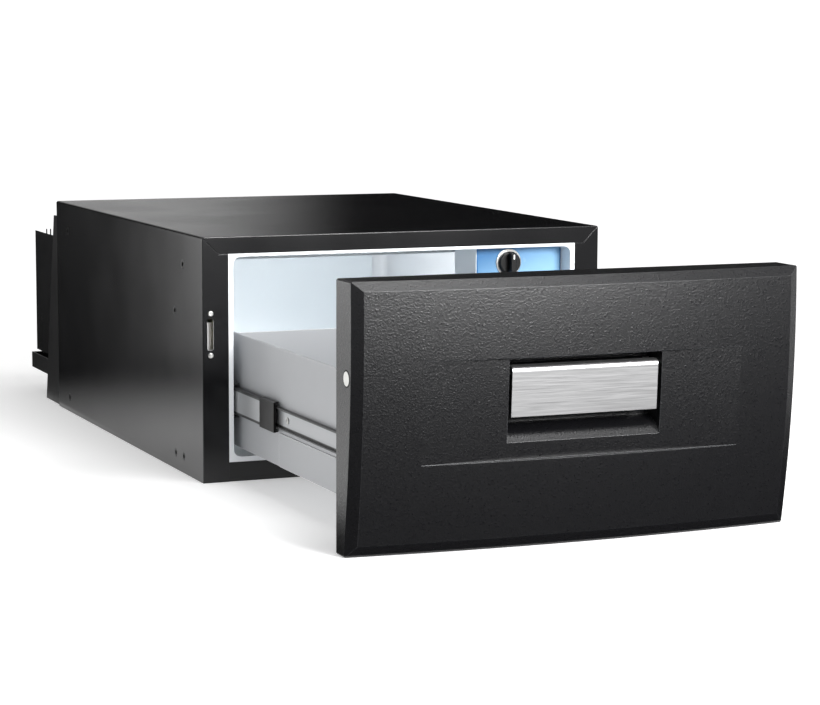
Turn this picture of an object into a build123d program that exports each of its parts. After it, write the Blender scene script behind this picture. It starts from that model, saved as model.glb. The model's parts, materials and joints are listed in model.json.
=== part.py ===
from build123d import *
from math import cos, degrees, radians, sin
import os

# A built-in drawer fridge for caravans, millimetres, +Z up.
# The origin is the centre of the cabinet's bottom face.  +X is to the right
# seen from the front, the drawer opens along -Y, and the cooling unit is at +Y.
# The model is drawn with the drawer open by display_opening.

# ---------------------------------------------------------------- dimensions
# Cabinet housing
cabinet_width = 440.0
cabinet_height = 248.0
cabinet_depth = 560.0
steel = 1.0
bend_radius = 2.5
front_edge_radius = 0.8
side_frame = 27.5
top_frame = 17.5
bottom_frame = 20.0
seam_width = 0.5
seam_depth = 0.5
rear_foam = 42.0

# Inner liner
liner_wall = 2.5
rim_depth = 3.0
side_rim = 5.0
top_rim = 3.0
bottom_rim = 5.0
liner_corner = 8.0

# Fixing holes in the cabinet sides, from the front plane and the base
fixing_front = 64.0
fixing_rear = 50.0
fixing_low = 17.5
fixing_high = 32.5
fixing_second = 27.0
fixing_second_high = 82.5
fixing_bore = 2.5
insert_radius = 4.5
insert_length = 12.0

# Telescopic slides
slide_gap = 9.5
slide_height = 81.5
rail_sheet = 1.2
cabinet_rail_tall = 35.0
middle_rail_tall = 27.0
drawer_rail_tall = 20.0
rail_lip_clearance = 1.5
web_clearance = 1.6
drawer_rail_deep = 4.6
drawer_rail_start = 10.0
cabinet_rail_start = 6.0
cabinet_rail_length = 450.0
middle_rail_length = 380.0
middle_rail_front = 110.0
drawer_rail_length = 440.0
ball_radius = 1.1
ball_pitch = 18.0
ball_pairs = 8
clip_length = 38.0
clip_proud = 1.2
clip_thick = 0.8
clip_nose = 3.0
clip_lip_gap = 0.6
screw_radius = 1.6
screw_head = 3.2
rail_screw_shares = (0.06, 0.5, 0.94)
flat_head_high = 0.5
pan_head_high = 1.2
hole_over = 1.0

# Drawer
display_opening = 366.0
drawer_length = 450.0
drawer_floor_z = 33.0
drawer_top_z = 148.5
drawer_sheet = 1.2
hem_height = 8.0
floor_lip = 14.0
bracket_length = 256.0
bracket_sheet = 1.0
bracket_top_z = 66.0
bracket_flange = 15.0
bracket_screw_x = 7.5
bracket_screw_inset = 8.0
bracket_corner = 3.0
rivet_radius = 2.2
rivet_proud = 0.7
rivet_above_rail = 6.0
rivet_below_hem = 8.0

# Door
door_side_gap = 1.5
door_width = cabinet_width - 2 * door_side_gap
door_height = 241.0
door_bottom_gap = 0.3
door_mid_thick = 37.0
door_lean = 16.0
door_camber = 6.4
door_bow = 12.1
bevel_deep = 5.1
bevel_wide = 8.0
door_corner = 2.0
door_wall = 3.5
foam_clearance = 2.0
blank_deep = 90.0
form_over = 10.0
inner_panel_thick = 2.5
gasket_width = 8.0
gasket_thick = 5.0
gasket_inset = 14.5
gasket_inset_z = 6.0
gasket_corner = 10.0
gasket_round = 2.0

# Handle recess and the flat band across the door
band_low = 80.4
band_high = 171.5
band_reach = 155.7
recess_width = 150.0
recess_low = 81.2
recess_high = 170.3
recess_floor = 16.0
recess_wall = 2.5
scoop_radius = 29.0

# Handle and latch
shaft_radius = 4.0
shaft_from_back = 24.0
shaft_z = 157.3
shaft_clearance = 0.05
plate_width = 143.0
plate_low = 118.3
plate_high = 163.6
plate_setback = 0.6
plate_sheet = 1.2
plate_roll = 5.0
plate_lip = 5.0
carrier_width = 128.0
carrier_pad = 3.0
carrier_boss = 7.0
carrier_arm = 12.0
carrier_inset = 1.0
carrier_web_low = 3.0
carrier_web_high = 1.0
hook_thick = 4.0
hook_side_gap = 1.0
hook_from_side = 8.5
hook_reach = 13.0
hook_arm = 4.0
hook_lip = 3.2
hook_boss = 6.5
hook_top_gap = 0.5
hook_tip_flat = 1.0
hook_swing_room = 9.0
cap_radius = 6.5
cap_clearance = 0.02
cap_depth = 5.0
cap_dome = 0.4
cap_socket = 3.0
shaft_end_gap = 0.6
shaft_chamfer = 0.5
spring_wire = 1.2
spring_turns = 4
spring_gap = 0.8
spring_side_gap = 2.0
coil_pitch = 1.5

# Strikes in the front frame
slot_width = 7.0
slot_low = 134.5
slot_high = 166.2
slot_corner = 2.0
strike_room = 30.0
strike_sheet = 1.5
strike_margin = 2.5
strike_depth = 9.5
strike_tongue_high = 161.5
strike_screw_offset = 5.2
strike_screw_radius = 1.5
strike_head = 2.8
strike_head_high = 1.6
strike_screw_grip = 3.0

# Control unit under the ceiling
control_width = 99.5
control_height = 36.0
control_depth = 54.0
control_setback = 22.0
control_wall = 2.0
label_thick = 0.5
label_margin = 1.0
knob_from_right = 62.0
knob_drop = 17.5
knob_radius = 12.0
knob_long = 13.0
knob_skirt = 4.0
grip_width = 6.5
grip_inset = 1.0
ring_radius = 14.6
ring_thick = 1.2
ring_round = 0.8
knob_round = 1.5
grip_round = 1.0
spindle_radius = 3.0
knob_clearance = 0.4
thermostat_width = 36.0
thermostat_height = 28.0
thermostat_depth = 30.0
thermostat_corner = 3.0
lens_width = 34.0
lens_depth = 20.0
lens_thick = 2.5
lens_proud = 0.5
lens_from_front = 12.0
lens_gap = 4.0
bulb_radius = 2.5
bulb_long = 60.0
bulb_from_edge = 30.0
capillary_radius = 1.2
capillary_clearance = 0.8
spindle_seat = 10.0

# Evaporator
evaporator_sheet = 1.5
evaporator_from_side = 55.0
evaporator_width = cabinet_width - 2 * evaporator_from_side
evaporator_front = 110.0
evaporator_gap = 13.0
evaporator_tail = 130.0
channel_width = 9.0
channel_proud = 1.5
channel_pitch = 40.0
channel_count = 8
spacer_radius = 4.0
spacer_inset = 14.0
evaporator_back_gap = 10.0
channel_edge = 6.0
suction_drop = 30.0
suction_seat = 6.0

# Cooling unit behind the cabinet
overhang = 150.0
gusset_inset = 3.0
gusset_sheet = 2.0
gusset_bottom = 72.0
gusset_top = 25.0
gusset_height = 229.0
gusset_flange = 16.0
gusset_screw_inset = 14.0
gusset_screw_shares = (0.1, 0.9)
tray_z = 29.0
tray_lip = 19.0
tray_sheet = 1.5
vent_slot_long = 18.0
vent_slot_wide = 6.0
vent_pitch_x = 16.0
vent_pitch_y = 24.0
vent_columns = 7
vent_rows = 3
condenser_inset = 7.0
condenser_low = 66.0
condenser_pitch = 25.0
condenser_rows = 6
condenser_tube_radius = 2.5
condenser_bend = 14.0
condenser_start = 28.0
row_bend = 11.2
wire_radius = 0.8
wire_pitch = 5.0
wire_over = 12.0
wire_from_bend = 4.0
post_width = 10.0
post_sheet = 3.0
post_from_start = 34.0
post_drop = 4.0
compressor_radius = 50.0
compressor_height = 118.0
compressor_x = 95.0
compressor_from_back = 66.0
compressor_crown = 21.0
compressor_seam = 5.0
compressor_seam_proud = 2.5
compressor_seam_share = 0.52
foot_pitch = 84.0
foot_margin = 18.0
foot_sheet = 3.0
foot_hole = 4.0
stub_wall = 1.5
stub_offset = 20.0
stub_deep = 6.0
suction_stub = 24.0
discharge_stub = 34.0
stub_base = 30.0
bolt_radius = 3.0
bolt_clearance = 0.1
bolt_head_radius = 5.5
bolt_head_high = 4.0
grommet_radius = 9.0
grommet_height = 12.0
fan_size = 80.0
fan_deep = 25.0
fan_x = -110.0
fan_from_back = 70.0
fan_bore_radius = 37.5
fan_tip_clearance = 1.5
fan_hub_radius = 16.0
fan_blades = 7
fan_blade_thick = 1.6
fan_blade_turn = 32
fan_screw_pitch = 71.0
fan_screw_hole = 2.1
fan_corner = 4.0
fan_web = 3.0
fan_pin_radius = 3.0
fan_pin_long = 17.0
fan_pin_clearance = 0.05
fan_web_gap = 1.0
fan_hub_long = 20.0
fan_blade_long = 15.0
unit_width = 96.0
unit_height = 76.0
unit_depth = 30.0
unit_above_fan = 8.0
unit_beside_fan = 6.0
unit_plate = 6.0
fin_pitch = 8.0
fin_sheet = 1.6
fin_deep = 8.0
fin_inset = 4.0
cover_height = 26.0
cover_corner = 2.0
drier_radius = 9.0
drier_length = 80.0
drier_x = 5.0
drier_from_back = 30.0
drier_above_tray = 39.0
drier_tail = 10.0
drier_tail_radius = 2.0
drier_round = 6.3
drier_clamp_high = 10.0
pipe_radius = 3.0
pipe_bend = 14.0
pipe_clearance = 1.0
discharge_rise = 22.0
block_width = 34.0
block_height = 14.0
block_depth = 18.0
block_gap = 4.0
block_corner = 1.5
block_socket = 4.0
block_socket_pitch = 16.0
block_socket_deep = 6.0

# ---------------------------------------------------------- derived positions
front = -cabinet_depth / 2
back = cabinet_depth / 2
half_width = cabinet_width / 2
opening_x = half_width - side_frame
opening_top = cabinet_height - top_frame
inner_x = opening_x - side_rim
floor_z = bottom_frame + bottom_rim
ceiling_z = opening_top - top_rim
liner_back = back - steel - rear_foam - liner_wall
drawer_x = inner_x - slide_gap
door_back = front - display_opening
door_z = door_bottom_gap + door_height / 2
door_half = door_width / 2
slide_low_x = drawer_x + rail_lip_clearance
slot_x = half_width - hook_from_side
shaft_y = door_back - shaft_from_back
drawer_rear = door_back + drawer_length
sides = (("left", -1), ("right", 1))

os.makedirs("parts", exist_ok=True)


def save(piece, name):
    """Label one finished piece and write it under its own name."""
    piece.part.label = name
    export_step(piece.part, f"parts/{name}.step")


def block(xs, ys, zs):
    """A rectangular block between two planes on each axis."""
    with BuildPart() as piece:
        with BuildSketch(Plane.XY.offset(min(zs))):
            with Locations(((xs[0] + xs[1]) / 2, (ys[0] + ys[1]) / 2)):
                Rectangle(abs(xs[1] - xs[0]), abs(ys[1] - ys[0]))
        extrude(amount=abs(zs[1] - zs[0]))
    return piece.part


def rod(start, direction, radius, length):
    """A round bar from a start point along a direction."""
    with BuildPart() as piece:
        with BuildSketch(Plane(origin=start, z_dir=direction)):
            Circle(radius)
        extrude(amount=length)
    return piece.part


def side_plate(points, x_low, x_high):
    """A plate drawn by its (Y, Z) outline and thick along X."""
    with BuildPart() as piece:
        with BuildSketch(Plane.YZ.offset(x_low)):
            with BuildLine():
                Polyline(*points, close=True)
            make_face()
        extrude(amount=x_high - x_low)
    return piece.part


def pipe(points, radius, bend):
    """A tube as a solid round bar along straight runs joined by arcs."""
    with BuildPart() as piece:
        with BuildLine() as route:
            FilletPolyline(*points, radius=bend)
        with BuildSketch(Plane(origin=route.line @ 0, z_dir=route.line % 0)):
            Circle(radius)
        sweep(path=route.line)
    return piece.part


def pan_screw(head_at, direction, head_radius, head_high, radius, length):
    """A pan-head screw: the head stands behind head_at, the shank points ahead."""
    seat = Plane(origin=head_at, z_dir=direction)
    cross_long = head_radius * 1.2
    cross_wide = head_radius * 0.3
    with BuildPart() as piece:
        with BuildSketch(seat):
            Circle(radius)
        extrude(amount=length)
        with BuildSketch(seat):
            Circle(head_radius)
        extrude(amount=-head_high)
        head_face = piece.faces().sort_by(Axis(head_at, direction))[0]
        fillet(head_face.edges(), head_high / 2)
        with BuildSketch(seat.offset(-head_high)):
            Rectangle(cross_long, cross_wide)
            Rectangle(cross_wide, cross_long)
        extrude(amount=head_high / 2, mode=Mode.SUBTRACT)
    return piece.part


# ------------------------------------------------------------ cabinet housing
fixing_points = (
    (front + fixing_front, cabinet_height - fixing_high),
    (front + fixing_front, fixing_low),
    (back - fixing_rear, cabinet_height - fixing_high),
    (back - fixing_rear, fixing_low),
    (front + fixing_front + fixing_second, cabinet_height - fixing_second_high),
    (front + fixing_front + fixing_second, fixing_low),
)
strike_screw_heights = (slot_high + strike_screw_offset, slot_low - strike_screw_offset)

with BuildPart() as cabinet_wrap:
    with BuildSketch(Plane.XY):
        with Locations((0, (front + back) / 2)):
            Rectangle(cabinet_width, cabinet_depth)
    extrude(amount=cabinet_height)
    long_edges = cabinet_wrap.edges().filter_by(Axis.Y).group_by(Axis.Z)[-1]
    fillet(long_edges, bend_radius)
    front_edges = cabinet_wrap.faces().sort_by(Axis.Y)[0].edges()
    fillet(front_edges.filter_by(lambda edge: edge.center().Z > steel), front_edge_radius)
    add(
        block(
            (steel - half_width, half_width - steel),
            (front + steel, back + steel),
            (-steel, cabinet_height - steel),
        ),
        mode=Mode.SUBTRACT,
    )
    add(
        block((-opening_x, opening_x), (front - steel, front + 2 * steel), (-steel, opening_top)),
        mode=Mode.SUBTRACT,
    )
    for name, side in sides:
        seam_end = (side * (half_width - top_frame), opening_top)
        with BuildSketch(Plane.XZ.offset(-front)):
            with BuildLine():
                Polyline((side * half_width, cabinet_height), seam_end, (side * opening_x, opening_top))
            trace(line_width=seam_width)
        extrude(amount=-seam_depth, mode=Mode.SUBTRACT)
        with BuildSketch(Plane.XZ.offset(-front)):
            with Locations((side * slot_x, (slot_low + slot_high) / 2)):
                RectangleRounded(slot_width, slot_high - slot_low, slot_corner)
            with Locations(*[(side * slot_x, z) for z in strike_screw_heights]):
                Circle(strike_screw_radius)
        extrude(amount=-2 * steel, mode=Mode.SUBTRACT)
        with BuildSketch(Plane.YZ.offset(side * half_width)):
            with Locations(*fixing_points):
                Circle(insert_radius)
        extrude(amount=-side * 2 * steel, mode=Mode.SUBTRACT)
save(cabinet_wrap, "cabinet_wrap")

with BuildPart() as base_pan:
    add(block((steel - half_width, half_width - steel), (front + steel, back), (0, steel)))
    add(block((-opening_x, opening_x), (front, front + 2 * steel), (0, steel)))
    add(block((-opening_x, opening_x), (front, front + steel), (0, bottom_frame)))
    low_edge = base_pan.edges().filter_by(Axis.X).group_by(Axis.Z)[0].sort_by(Axis.Y)[0]
    fillet(low_edge, front_edge_radius)
save(base_pan, "base_pan")

# ----------------------------------------------------------- refrigerant pipes
evaporator_z = ceiling_z - evaporator_gap
evaporator_back = liner_back - evaporator_back_gap
compressor_y = back + compressor_from_back
compressor_low = tray_z + tray_sheet + grommet_height
compressor_top = compressor_low + compressor_height
condenser_x = half_width - gusset_inset - condenser_inset
condenser_y = back + overhang - tray_sheet - condenser_inset
condenser_heights = [condenser_low + row * condenser_pitch for row in range(condenser_rows)]
suction_x = compressor_x + stub_offset
suction_z = evaporator_z - suction_drop
discharge_x = compressor_x - stub_offset
suction_points = (
    (suction_x, evaporator_back + evaporator_sheet, suction_z),
    (suction_x, compressor_y, suction_z),
    (suction_x, compressor_y, compressor_top - suction_seat),
)
with BuildPart() as suction_pipe:
    add(pipe(suction_points, pipe_radius, pipe_bend))
save(suction_pipe, "suction_pipe")


def pipe_passage(radius):
    """The straight bore that the suction pipe takes through the rear wall."""
    start = (suction_x, liner_back - liner_wall, suction_z)
    return rod(start, (0, 1, 0), radius, back - liner_back + 2 * liner_wall)


with BuildPart() as rear_panel:
    panel_xs = (steel - half_width, half_width - steel)
    add(block(panel_xs, (back - steel, back), (steel, cabinet_height - steel)))
    add(pipe_passage(pipe_radius + pipe_clearance), mode=Mode.SUBTRACT)
save(rear_panel, "rear_panel")

# ------------------------------------------------------------------ inner liner
with BuildPart() as liner_cavity:
    with BuildSketch(Plane.XZ.offset(-front)):
        with Locations((0, (floor_z + ceiling_z) / 2)):
            RectangleRounded(2 * inner_x, ceiling_z - floor_z, liner_corner)
    extrude(amount=-(liner_back - front))
    fillet(liner_cavity.faces().sort_by(Axis.Y)[-1].edges(), liner_corner * 0.9)

with BuildPart() as inner_liner:
    add(
        block(
            (-inner_x - liner_wall, inner_x + liner_wall),
            (front, liner_back + liner_wall),
            (floor_z - liner_wall, ceiling_z + liner_wall),
        )
    )
    add(block((-opening_x, opening_x), (front, front + rim_depth), (bottom_frame, opening_top)))
    add(liner_cavity.part, mode=Mode.SUBTRACT)
    add(pipe_passage(pipe_radius + pipe_clearance), mode=Mode.SUBTRACT)
save(inner_liner, "inner_liner")

strike_low = min(strike_screw_heights) - strike_margin - strike_head
strike_high = max(strike_screw_heights) + strike_margin + strike_head
strike_half = slot_width / 2 + strike_margin


def strike_pocket(side):
    """The room behind the frame where a strike and a hook are."""
    xs = (side * (slot_x - strike_half - 1), side * (half_width - steel))
    return block(xs, (front + steel, front + strike_room), (strike_low - 1, strike_high + 1))


with BuildPart() as foam_insulation:
    add(
        block(
            (steel - half_width, half_width - steel),
            (front + steel, back - steel),
            (steel, cabinet_height - steel),
        )
    )
    add(
        block(
            (-inner_x - liner_wall, inner_x + liner_wall),
            (front, liner_back + liner_wall),
            (floor_z - liner_wall, ceiling_z + liner_wall),
        ),
        mode=Mode.SUBTRACT,
    )
    add(
        block((-opening_x, opening_x), (front, front + rim_depth), (bottom_frame, opening_top)),
        mode=Mode.SUBTRACT,
    )
    add(pipe_passage(pipe_radius + pipe_clearance), mode=Mode.SUBTRACT)
    for name, side in sides:
        add(strike_pocket(side), mode=Mode.SUBTRACT)
        for y, z in fixing_points:
            start = (side * half_width, y, z)
            add(rod(start, (-side, 0, 0), insert_radius, insert_length), mode=Mode.SUBTRACT)
save(foam_insulation, "foam_insulation")

with BuildPart() as fixing_inserts:
    for name, side in sides:
        for y, z in fixing_points:
            start = (side * half_width, y, z)
            add(rod(start, (-side, 0, 0), insert_radius, insert_length))
            add(rod(start, (-side, 0, 0), fixing_bore, insert_length - 2), mode=Mode.SUBTRACT)
save(fixing_inserts, "fixing_inserts")

# ---------------------------------------------------------------------- strikes
def strike(side):
    """A keeper behind the frame: a slotted plate with a half-round tongue behind it."""
    plate_y = front + steel
    tongue_y = front + strike_depth + strike_half
    tongue_low = slot_low - strike_sheet
    xs = (side * (slot_x - strike_half), side * (slot_x + strike_half))
    with BuildPart() as keeper:
        add(block(xs, (plate_y, plate_y + strike_sheet), (strike_low, strike_high)))
        with BuildSketch(Plane.XZ.offset(-plate_y)):
            with Locations((side * slot_x, (slot_low + slot_high) / 2)):
                RectangleRounded(slot_width, slot_high - slot_low, slot_corner)
            with Locations(*[(side * slot_x, z) for z in strike_screw_heights]):
                Circle(strike_screw_radius)
        extrude(amount=-2 * strike_sheet, mode=Mode.SUBTRACT)
        with BuildSketch(Plane.XY.offset(tongue_low)):
            with Locations((side * slot_x, tongue_y)):
                Circle(strike_half)
                Circle(strike_half - strike_sheet, mode=Mode.SUBTRACT)
                with Locations((0, strike_half)):
                    Rectangle(2 * strike_half, 2 * strike_half, mode=Mode.SUBTRACT)
        extrude(amount=strike_tongue_high - tongue_low)
        add(block(xs, (plate_y, tongue_y), (tongue_low - strike_sheet, tongue_low)))
    return keeper.part


with BuildPart() as strike_plates:
    for name, side in sides:
        add(strike(side))
save(strike_plates, "strike_plates")

with BuildPart() as strike_screws:
    for name, side in sides:
        for z in strike_screw_heights:
            head_at = (side * slot_x, front, z)
            length = steel + strike_sheet + strike_screw_grip
            add(pan_screw(head_at, (0, 1, 0), strike_head, strike_head_high, strike_screw_radius, length))
save(strike_screws, "strike_screws")

# ----------------------------------------------------------- telescopic slides
cabinet_web_x = inner_x - rail_sheet
middle_web_x = cabinet_web_x - web_clearance - rail_sheet
drawer_web_x = drawer_x + rail_sheet
drawer_lip_x = drawer_x + drawer_rail_deep


def channel(web_xs, lip_x, tall, ys, side):
    """A C-shaped rail: a web between web_xs with a lip along each long edge."""
    low_z = slide_height - tall / 2
    high_z = slide_height + tall / 2
    lip_xs = (side * lip_x, side * web_xs[0])
    with BuildPart() as rail:
        add(block((side * web_xs[0], side * web_xs[1]), ys, (low_z, high_z)))
        add(block(lip_xs, ys, (low_z, low_z + rail_sheet)))
        add(block(lip_xs, ys, (high_z - rail_sheet, high_z)))
    return rail.part


def screw_places(ys):
    """The Y places of the screws along a rail."""
    return [ys[0] + (ys[1] - ys[0]) * share for share in rail_screw_shares]


def rail_holes(ys, side):
    """Cutters for the screw holes of one side's rail and of what it is fixed to."""
    with BuildPart() as cutters:
        for y in screw_places(ys):
            start = (side * (drawer_x - hole_over), y, slide_height)
            add(rod(start, (side, 0, 0), screw_radius, slide_gap + hole_over))
    return cutters.part


def clip(side):
    """The black end clip that wraps a middle rail's front end."""
    ys = (middle_ys[0], middle_ys[0] + clip_length)
    nose_ys = (middle_ys[0] - clip_nose, middle_ys[0])
    web_x = middle_web_x + rail_sheet
    outer_x = web_x + clip_thick
    low_z = slide_height - middle_rail_tall / 2
    high_z = slide_height + middle_rail_tall / 2
    nose_xs = (side * (drawer_lip_x + clip_lip_gap), side * outer_x)
    with BuildPart() as wrap:
        add(block((side * web_x, side * outer_x), ys, (low_z - clip_proud, high_z + clip_proud)))
        add(block((side * slide_low_x, side * web_x), ys, (high_z, high_z + clip_proud)))
        add(block((side * slide_low_x, side * web_x), ys, (low_z - clip_proud, low_z)))
        add(block(nose_xs, nose_ys, (low_z - clip_proud, high_z + clip_proud)))
    return wrap.part


cabinet_ys = (front + cabinet_rail_start, front + cabinet_rail_start + cabinet_rail_length)
middle_ys = (front - middle_rail_front, front - middle_rail_front + middle_rail_length)
drawer_rail_ys = (door_back + drawer_rail_start, door_back + drawer_rail_start + drawer_rail_length)

for name, side in sides:
    with BuildPart() as cabinet_rail:
        add(channel((cabinet_web_x, inner_x), slide_low_x, cabinet_rail_tall, cabinet_ys, side))
        add(rail_holes(cabinet_ys, side), mode=Mode.SUBTRACT)
    save(cabinet_rail, f"cabinet_rail_{name}")

    with BuildPart() as middle_rail:
        middle_web_xs = (middle_web_x, middle_web_x + rail_sheet)
        add(channel(middle_web_xs, slide_low_x, middle_rail_tall, middle_ys, side))
        long_edges = middle_rail.edges().filter_by(Axis.Y).group_by(Axis.X)
        outer_edges = long_edges[-1] if side > 0 else long_edges[0]
        fillet(outer_edges, rail_sheet * 0.9)
    save(middle_rail, f"middle_rail_{name}")

    with BuildPart() as drawer_rail:
        add(channel((drawer_web_x, drawer_x), drawer_lip_x, drawer_rail_tall, drawer_rail_ys, side))
        add(rail_holes(drawer_rail_ys, side), mode=Mode.SUBTRACT)
    save(drawer_rail, f"drawer_rail_{name}")

with BuildPart() as rail_clips:
    for name, side in sides:
        add(clip(side))
save(rail_clips, "rail_clips")

ball_x = slide_low_x + rail_lip_clearance + ball_radius
ball_z = (cabinet_rail_tall / 2 - rail_sheet + middle_rail_tall / 2) / 2
ball_start = cabinet_ys[0] + 2 * ball_pitch
with BuildPart() as slide_balls:
    for name, side in sides:
        for step in range(ball_pairs):
            y = ball_start + ball_pitch * step
            for z in (slide_height - ball_z, slide_height + ball_z):
                with Locations((side * ball_x, y, z)):
                    Sphere(ball_radius)
save(slide_balls, "slide_balls")

with BuildPart() as cabinet_rail_screws:
    for name, side in sides:
        for y in screw_places(cabinet_ys):
            head_at = (side * cabinet_web_x, y, slide_height)
            add(pan_screw(head_at, (side, 0, 0), screw_head, flat_head_high, screw_radius, rail_sheet))
save(cabinet_rail_screws, "cabinet_rail_screws")

# ---------------------------------------------------------------------- drawer
drawer_ys = (door_back, drawer_rear)
panel_low = drawer_floor_z + 2 * drawer_sheet
panel_high = drawer_top_z - hem_height
panel_x = drawer_x - drawer_sheet
for name, side in sides:
    with BuildPart() as drawer_side:
        add(block((side * panel_x, side * drawer_x), drawer_ys, (drawer_floor_z, drawer_top_z)))
        add(block((side * (panel_x - drawer_sheet), side * panel_x), drawer_ys, (panel_high, drawer_top_z)))
        lip_xs = (side * (panel_x - floor_lip), side * panel_x)
        add(block(lip_xs, drawer_ys, (drawer_floor_z, drawer_floor_z + drawer_sheet)))
        top_edges = drawer_side.edges().filter_by(Axis.Y).group_by(Axis.Z)[-1]
        fillet(top_edges, drawer_sheet * 0.8)
    save(drawer_side, f"drawer_side_{name}")

with BuildPart() as drawer_floor:
    add(block((-panel_x, panel_x), drawer_ys, (drawer_floor_z + drawer_sheet, panel_low)))
save(drawer_floor, "drawer_floor")


def end_panel(y_face, inward):
    """A drawer end sheet with a lip along each side, folded inward."""
    with BuildPart() as panel:
        add(block((-panel_x, panel_x), (y_face, y_face + inward * drawer_sheet), (panel_low, panel_high)))
        for name, side in sides:
            lip_xs = (side * (panel_x - drawer_sheet), side * panel_x)
            add(block(lip_xs, (y_face, y_face + inward * floor_lip), (panel_low, panel_high)))
    return panel.part


with BuildPart() as drawer_back:
    add(end_panel(drawer_rear, -1))
save(drawer_back, "drawer_back")
with BuildPart() as drawer_front:
    add(end_panel(door_back, 1))
save(drawer_front, "drawer_front")

rivet_heights = (slide_height + cabinet_rail_tall / 2 + rivet_above_rail, panel_high - rivet_below_hem)
with BuildPart() as drawer_rivets:
    for name, side in sides:
        for y in (door_back + floor_lip / 2 + drawer_sheet, drawer_rear - floor_lip / 2 - drawer_sheet):
            for z in rivet_heights:
                start = (side * drawer_x, y, z)
                add(rod(start, (side, 0, 0), rivet_radius, rivet_proud))
save(drawer_rivets, "drawer_rivets")


def bracket(side):
    """An angle that ties a drawer side to the back of the door."""
    zs = (drawer_floor_z, bracket_top_z)
    leg_ys = (door_back, door_back + bracket_length)
    flange_ys = (door_back, door_back + bracket_sheet)
    with BuildPart() as angle:
        add(block((side * drawer_x, side * (drawer_x + bracket_sheet)), leg_ys, zs))
        add(block((side * drawer_x, side * (drawer_x + bracket_flange)), flange_ys, zs))
        rear_corners = angle.edges().filter_by(Axis.X).group_by(Axis.Y)[-1]
        fillet(rear_corners, bracket_corner)
        add(bracket_holes(side), mode=Mode.SUBTRACT)
    return angle.part


def bracket_holes(side):
    """Cutters for the screw holes of a bracket and of the door panel behind it."""
    with BuildPart() as cutters:
        for z in bracket_screw_heights:
            start = (side * (drawer_x + bracket_screw_x), door_back - 2 * inner_panel_thick, z)
            add(rod(start, (0, 1, 0), screw_radius, 4 * inner_panel_thick))
    return cutters.part


bracket_screw_heights = (drawer_floor_z + bracket_screw_inset, bracket_top_z - bracket_screw_inset)
with BuildPart() as front_brackets:
    for name, side in sides:
        add(bracket(side))
save(front_brackets, "front_brackets")

with BuildPart() as drawer_screws:
    for name, side in sides:
        for y in screw_places(drawer_rail_ys):
            head_at = (side * drawer_web_x, y, slide_height)
            add(pan_screw(head_at, (-side, 0, 0), screw_head, pan_head_high, screw_radius, rail_sheet))
        for z in bracket_screw_heights:
            head_at = (side * (drawer_x + bracket_screw_x), door_back + bracket_sheet, z)
            length = bracket_sheet + inner_panel_thick
            add(pan_screw(head_at, (0, -1, 0), screw_head, pan_head_high, screw_radius, length))
save(drawer_screws, "drawer_screws")

# ------------------------------------------------------------------------ door
camber_radius = door_height**2 / (8 * door_camber)
apex_share = door_lean / (8 * door_camber)
apex_z = door_z + apex_share * door_height
apex_depth = door_mid_thick + door_lean * apex_share / 2 + door_bow
camber_axis_y = door_back - apex_depth + camber_radius
band_drop = door_bow * (band_reach / door_half) ** 2
door_zs = (door_z - door_height / 2, door_z + door_height / 2)


def front_depth(x, z):
    """How far the bowed front stands ahead of the door's back face."""
    share = (z - door_z) / door_height
    camber = door_mid_thick + door_lean * share - 4 * door_camber * share**2
    return camber + door_bow * (1 - (x / door_half) ** 2)


def behind_front(inset):
    """Everything behind the door's bowed and cambered front, moved in by inset."""
    reach = door_half + form_over
    apex_y = inset - camber_radius
    edge_y = apex_y + door_bow * (reach / door_half) ** 2
    far_y = blank_deep - camber_radius
    down = degrees((apex_z - door_zs[0] + form_over) / camber_radius)
    up = degrees((door_zs[1] - apex_z + form_over) / camber_radius)
    low_side = Plane(
        origin=(0, camber_axis_y, apex_z),
        x_dir=(1, 0, 0),
        z_dir=(0, -sin(radians(down)), cos(radians(down))),
    )
    with BuildPart() as form:
        with BuildSketch(low_side):
            with BuildLine():
                ThreePointArc((-reach, edge_y), (0, apex_y), (reach, edge_y))
                Polyline((reach, edge_y), (reach, far_y), (-reach, far_y), (-reach, edge_y))
            make_face()
        revolve(axis=Axis((0, camber_axis_y, apex_z), (-1, 0, 0)), revolution_arc=down + up)
    return form.part


def level_bevel(z_edge, toward):
    """Everything behind the bevel that starts along the top or the bottom edge."""
    reach = door_half + form_over
    far_y = door_back + door_height
    edge_y = [door_back - front_depth(x, z_edge) + bevel_deep for x in (-reach, 0, reach)]
    with BuildPart() as form:
        with BuildSketch(Plane.XY.offset(z_edge)):
            with BuildLine():
                ThreePointArc((-reach, edge_y[0]), (0, edge_y[1]), (reach, edge_y[2]))
                Polyline((reach, edge_y[2]), (reach, far_y), (-reach, far_y), (-reach, edge_y[0]))
            make_face()
        extrude(amount=2 * door_height, dir=(0, -bevel_deep, toward * bevel_wide))
    return form.part


def upright_bevel(side):
    """Everything behind the bevel that starts along a side edge."""
    with BuildPart() as form:
        with BuildSketch(Plane.YZ.offset(side * door_half)):
            with Locations((camber_axis_y, apex_z)):
                Circle(camber_radius - door_bow - bevel_deep)
        extrude(amount=2 * door_width, dir=(-side * bevel_wide, -bevel_deep, 0))
    return form.part


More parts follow.
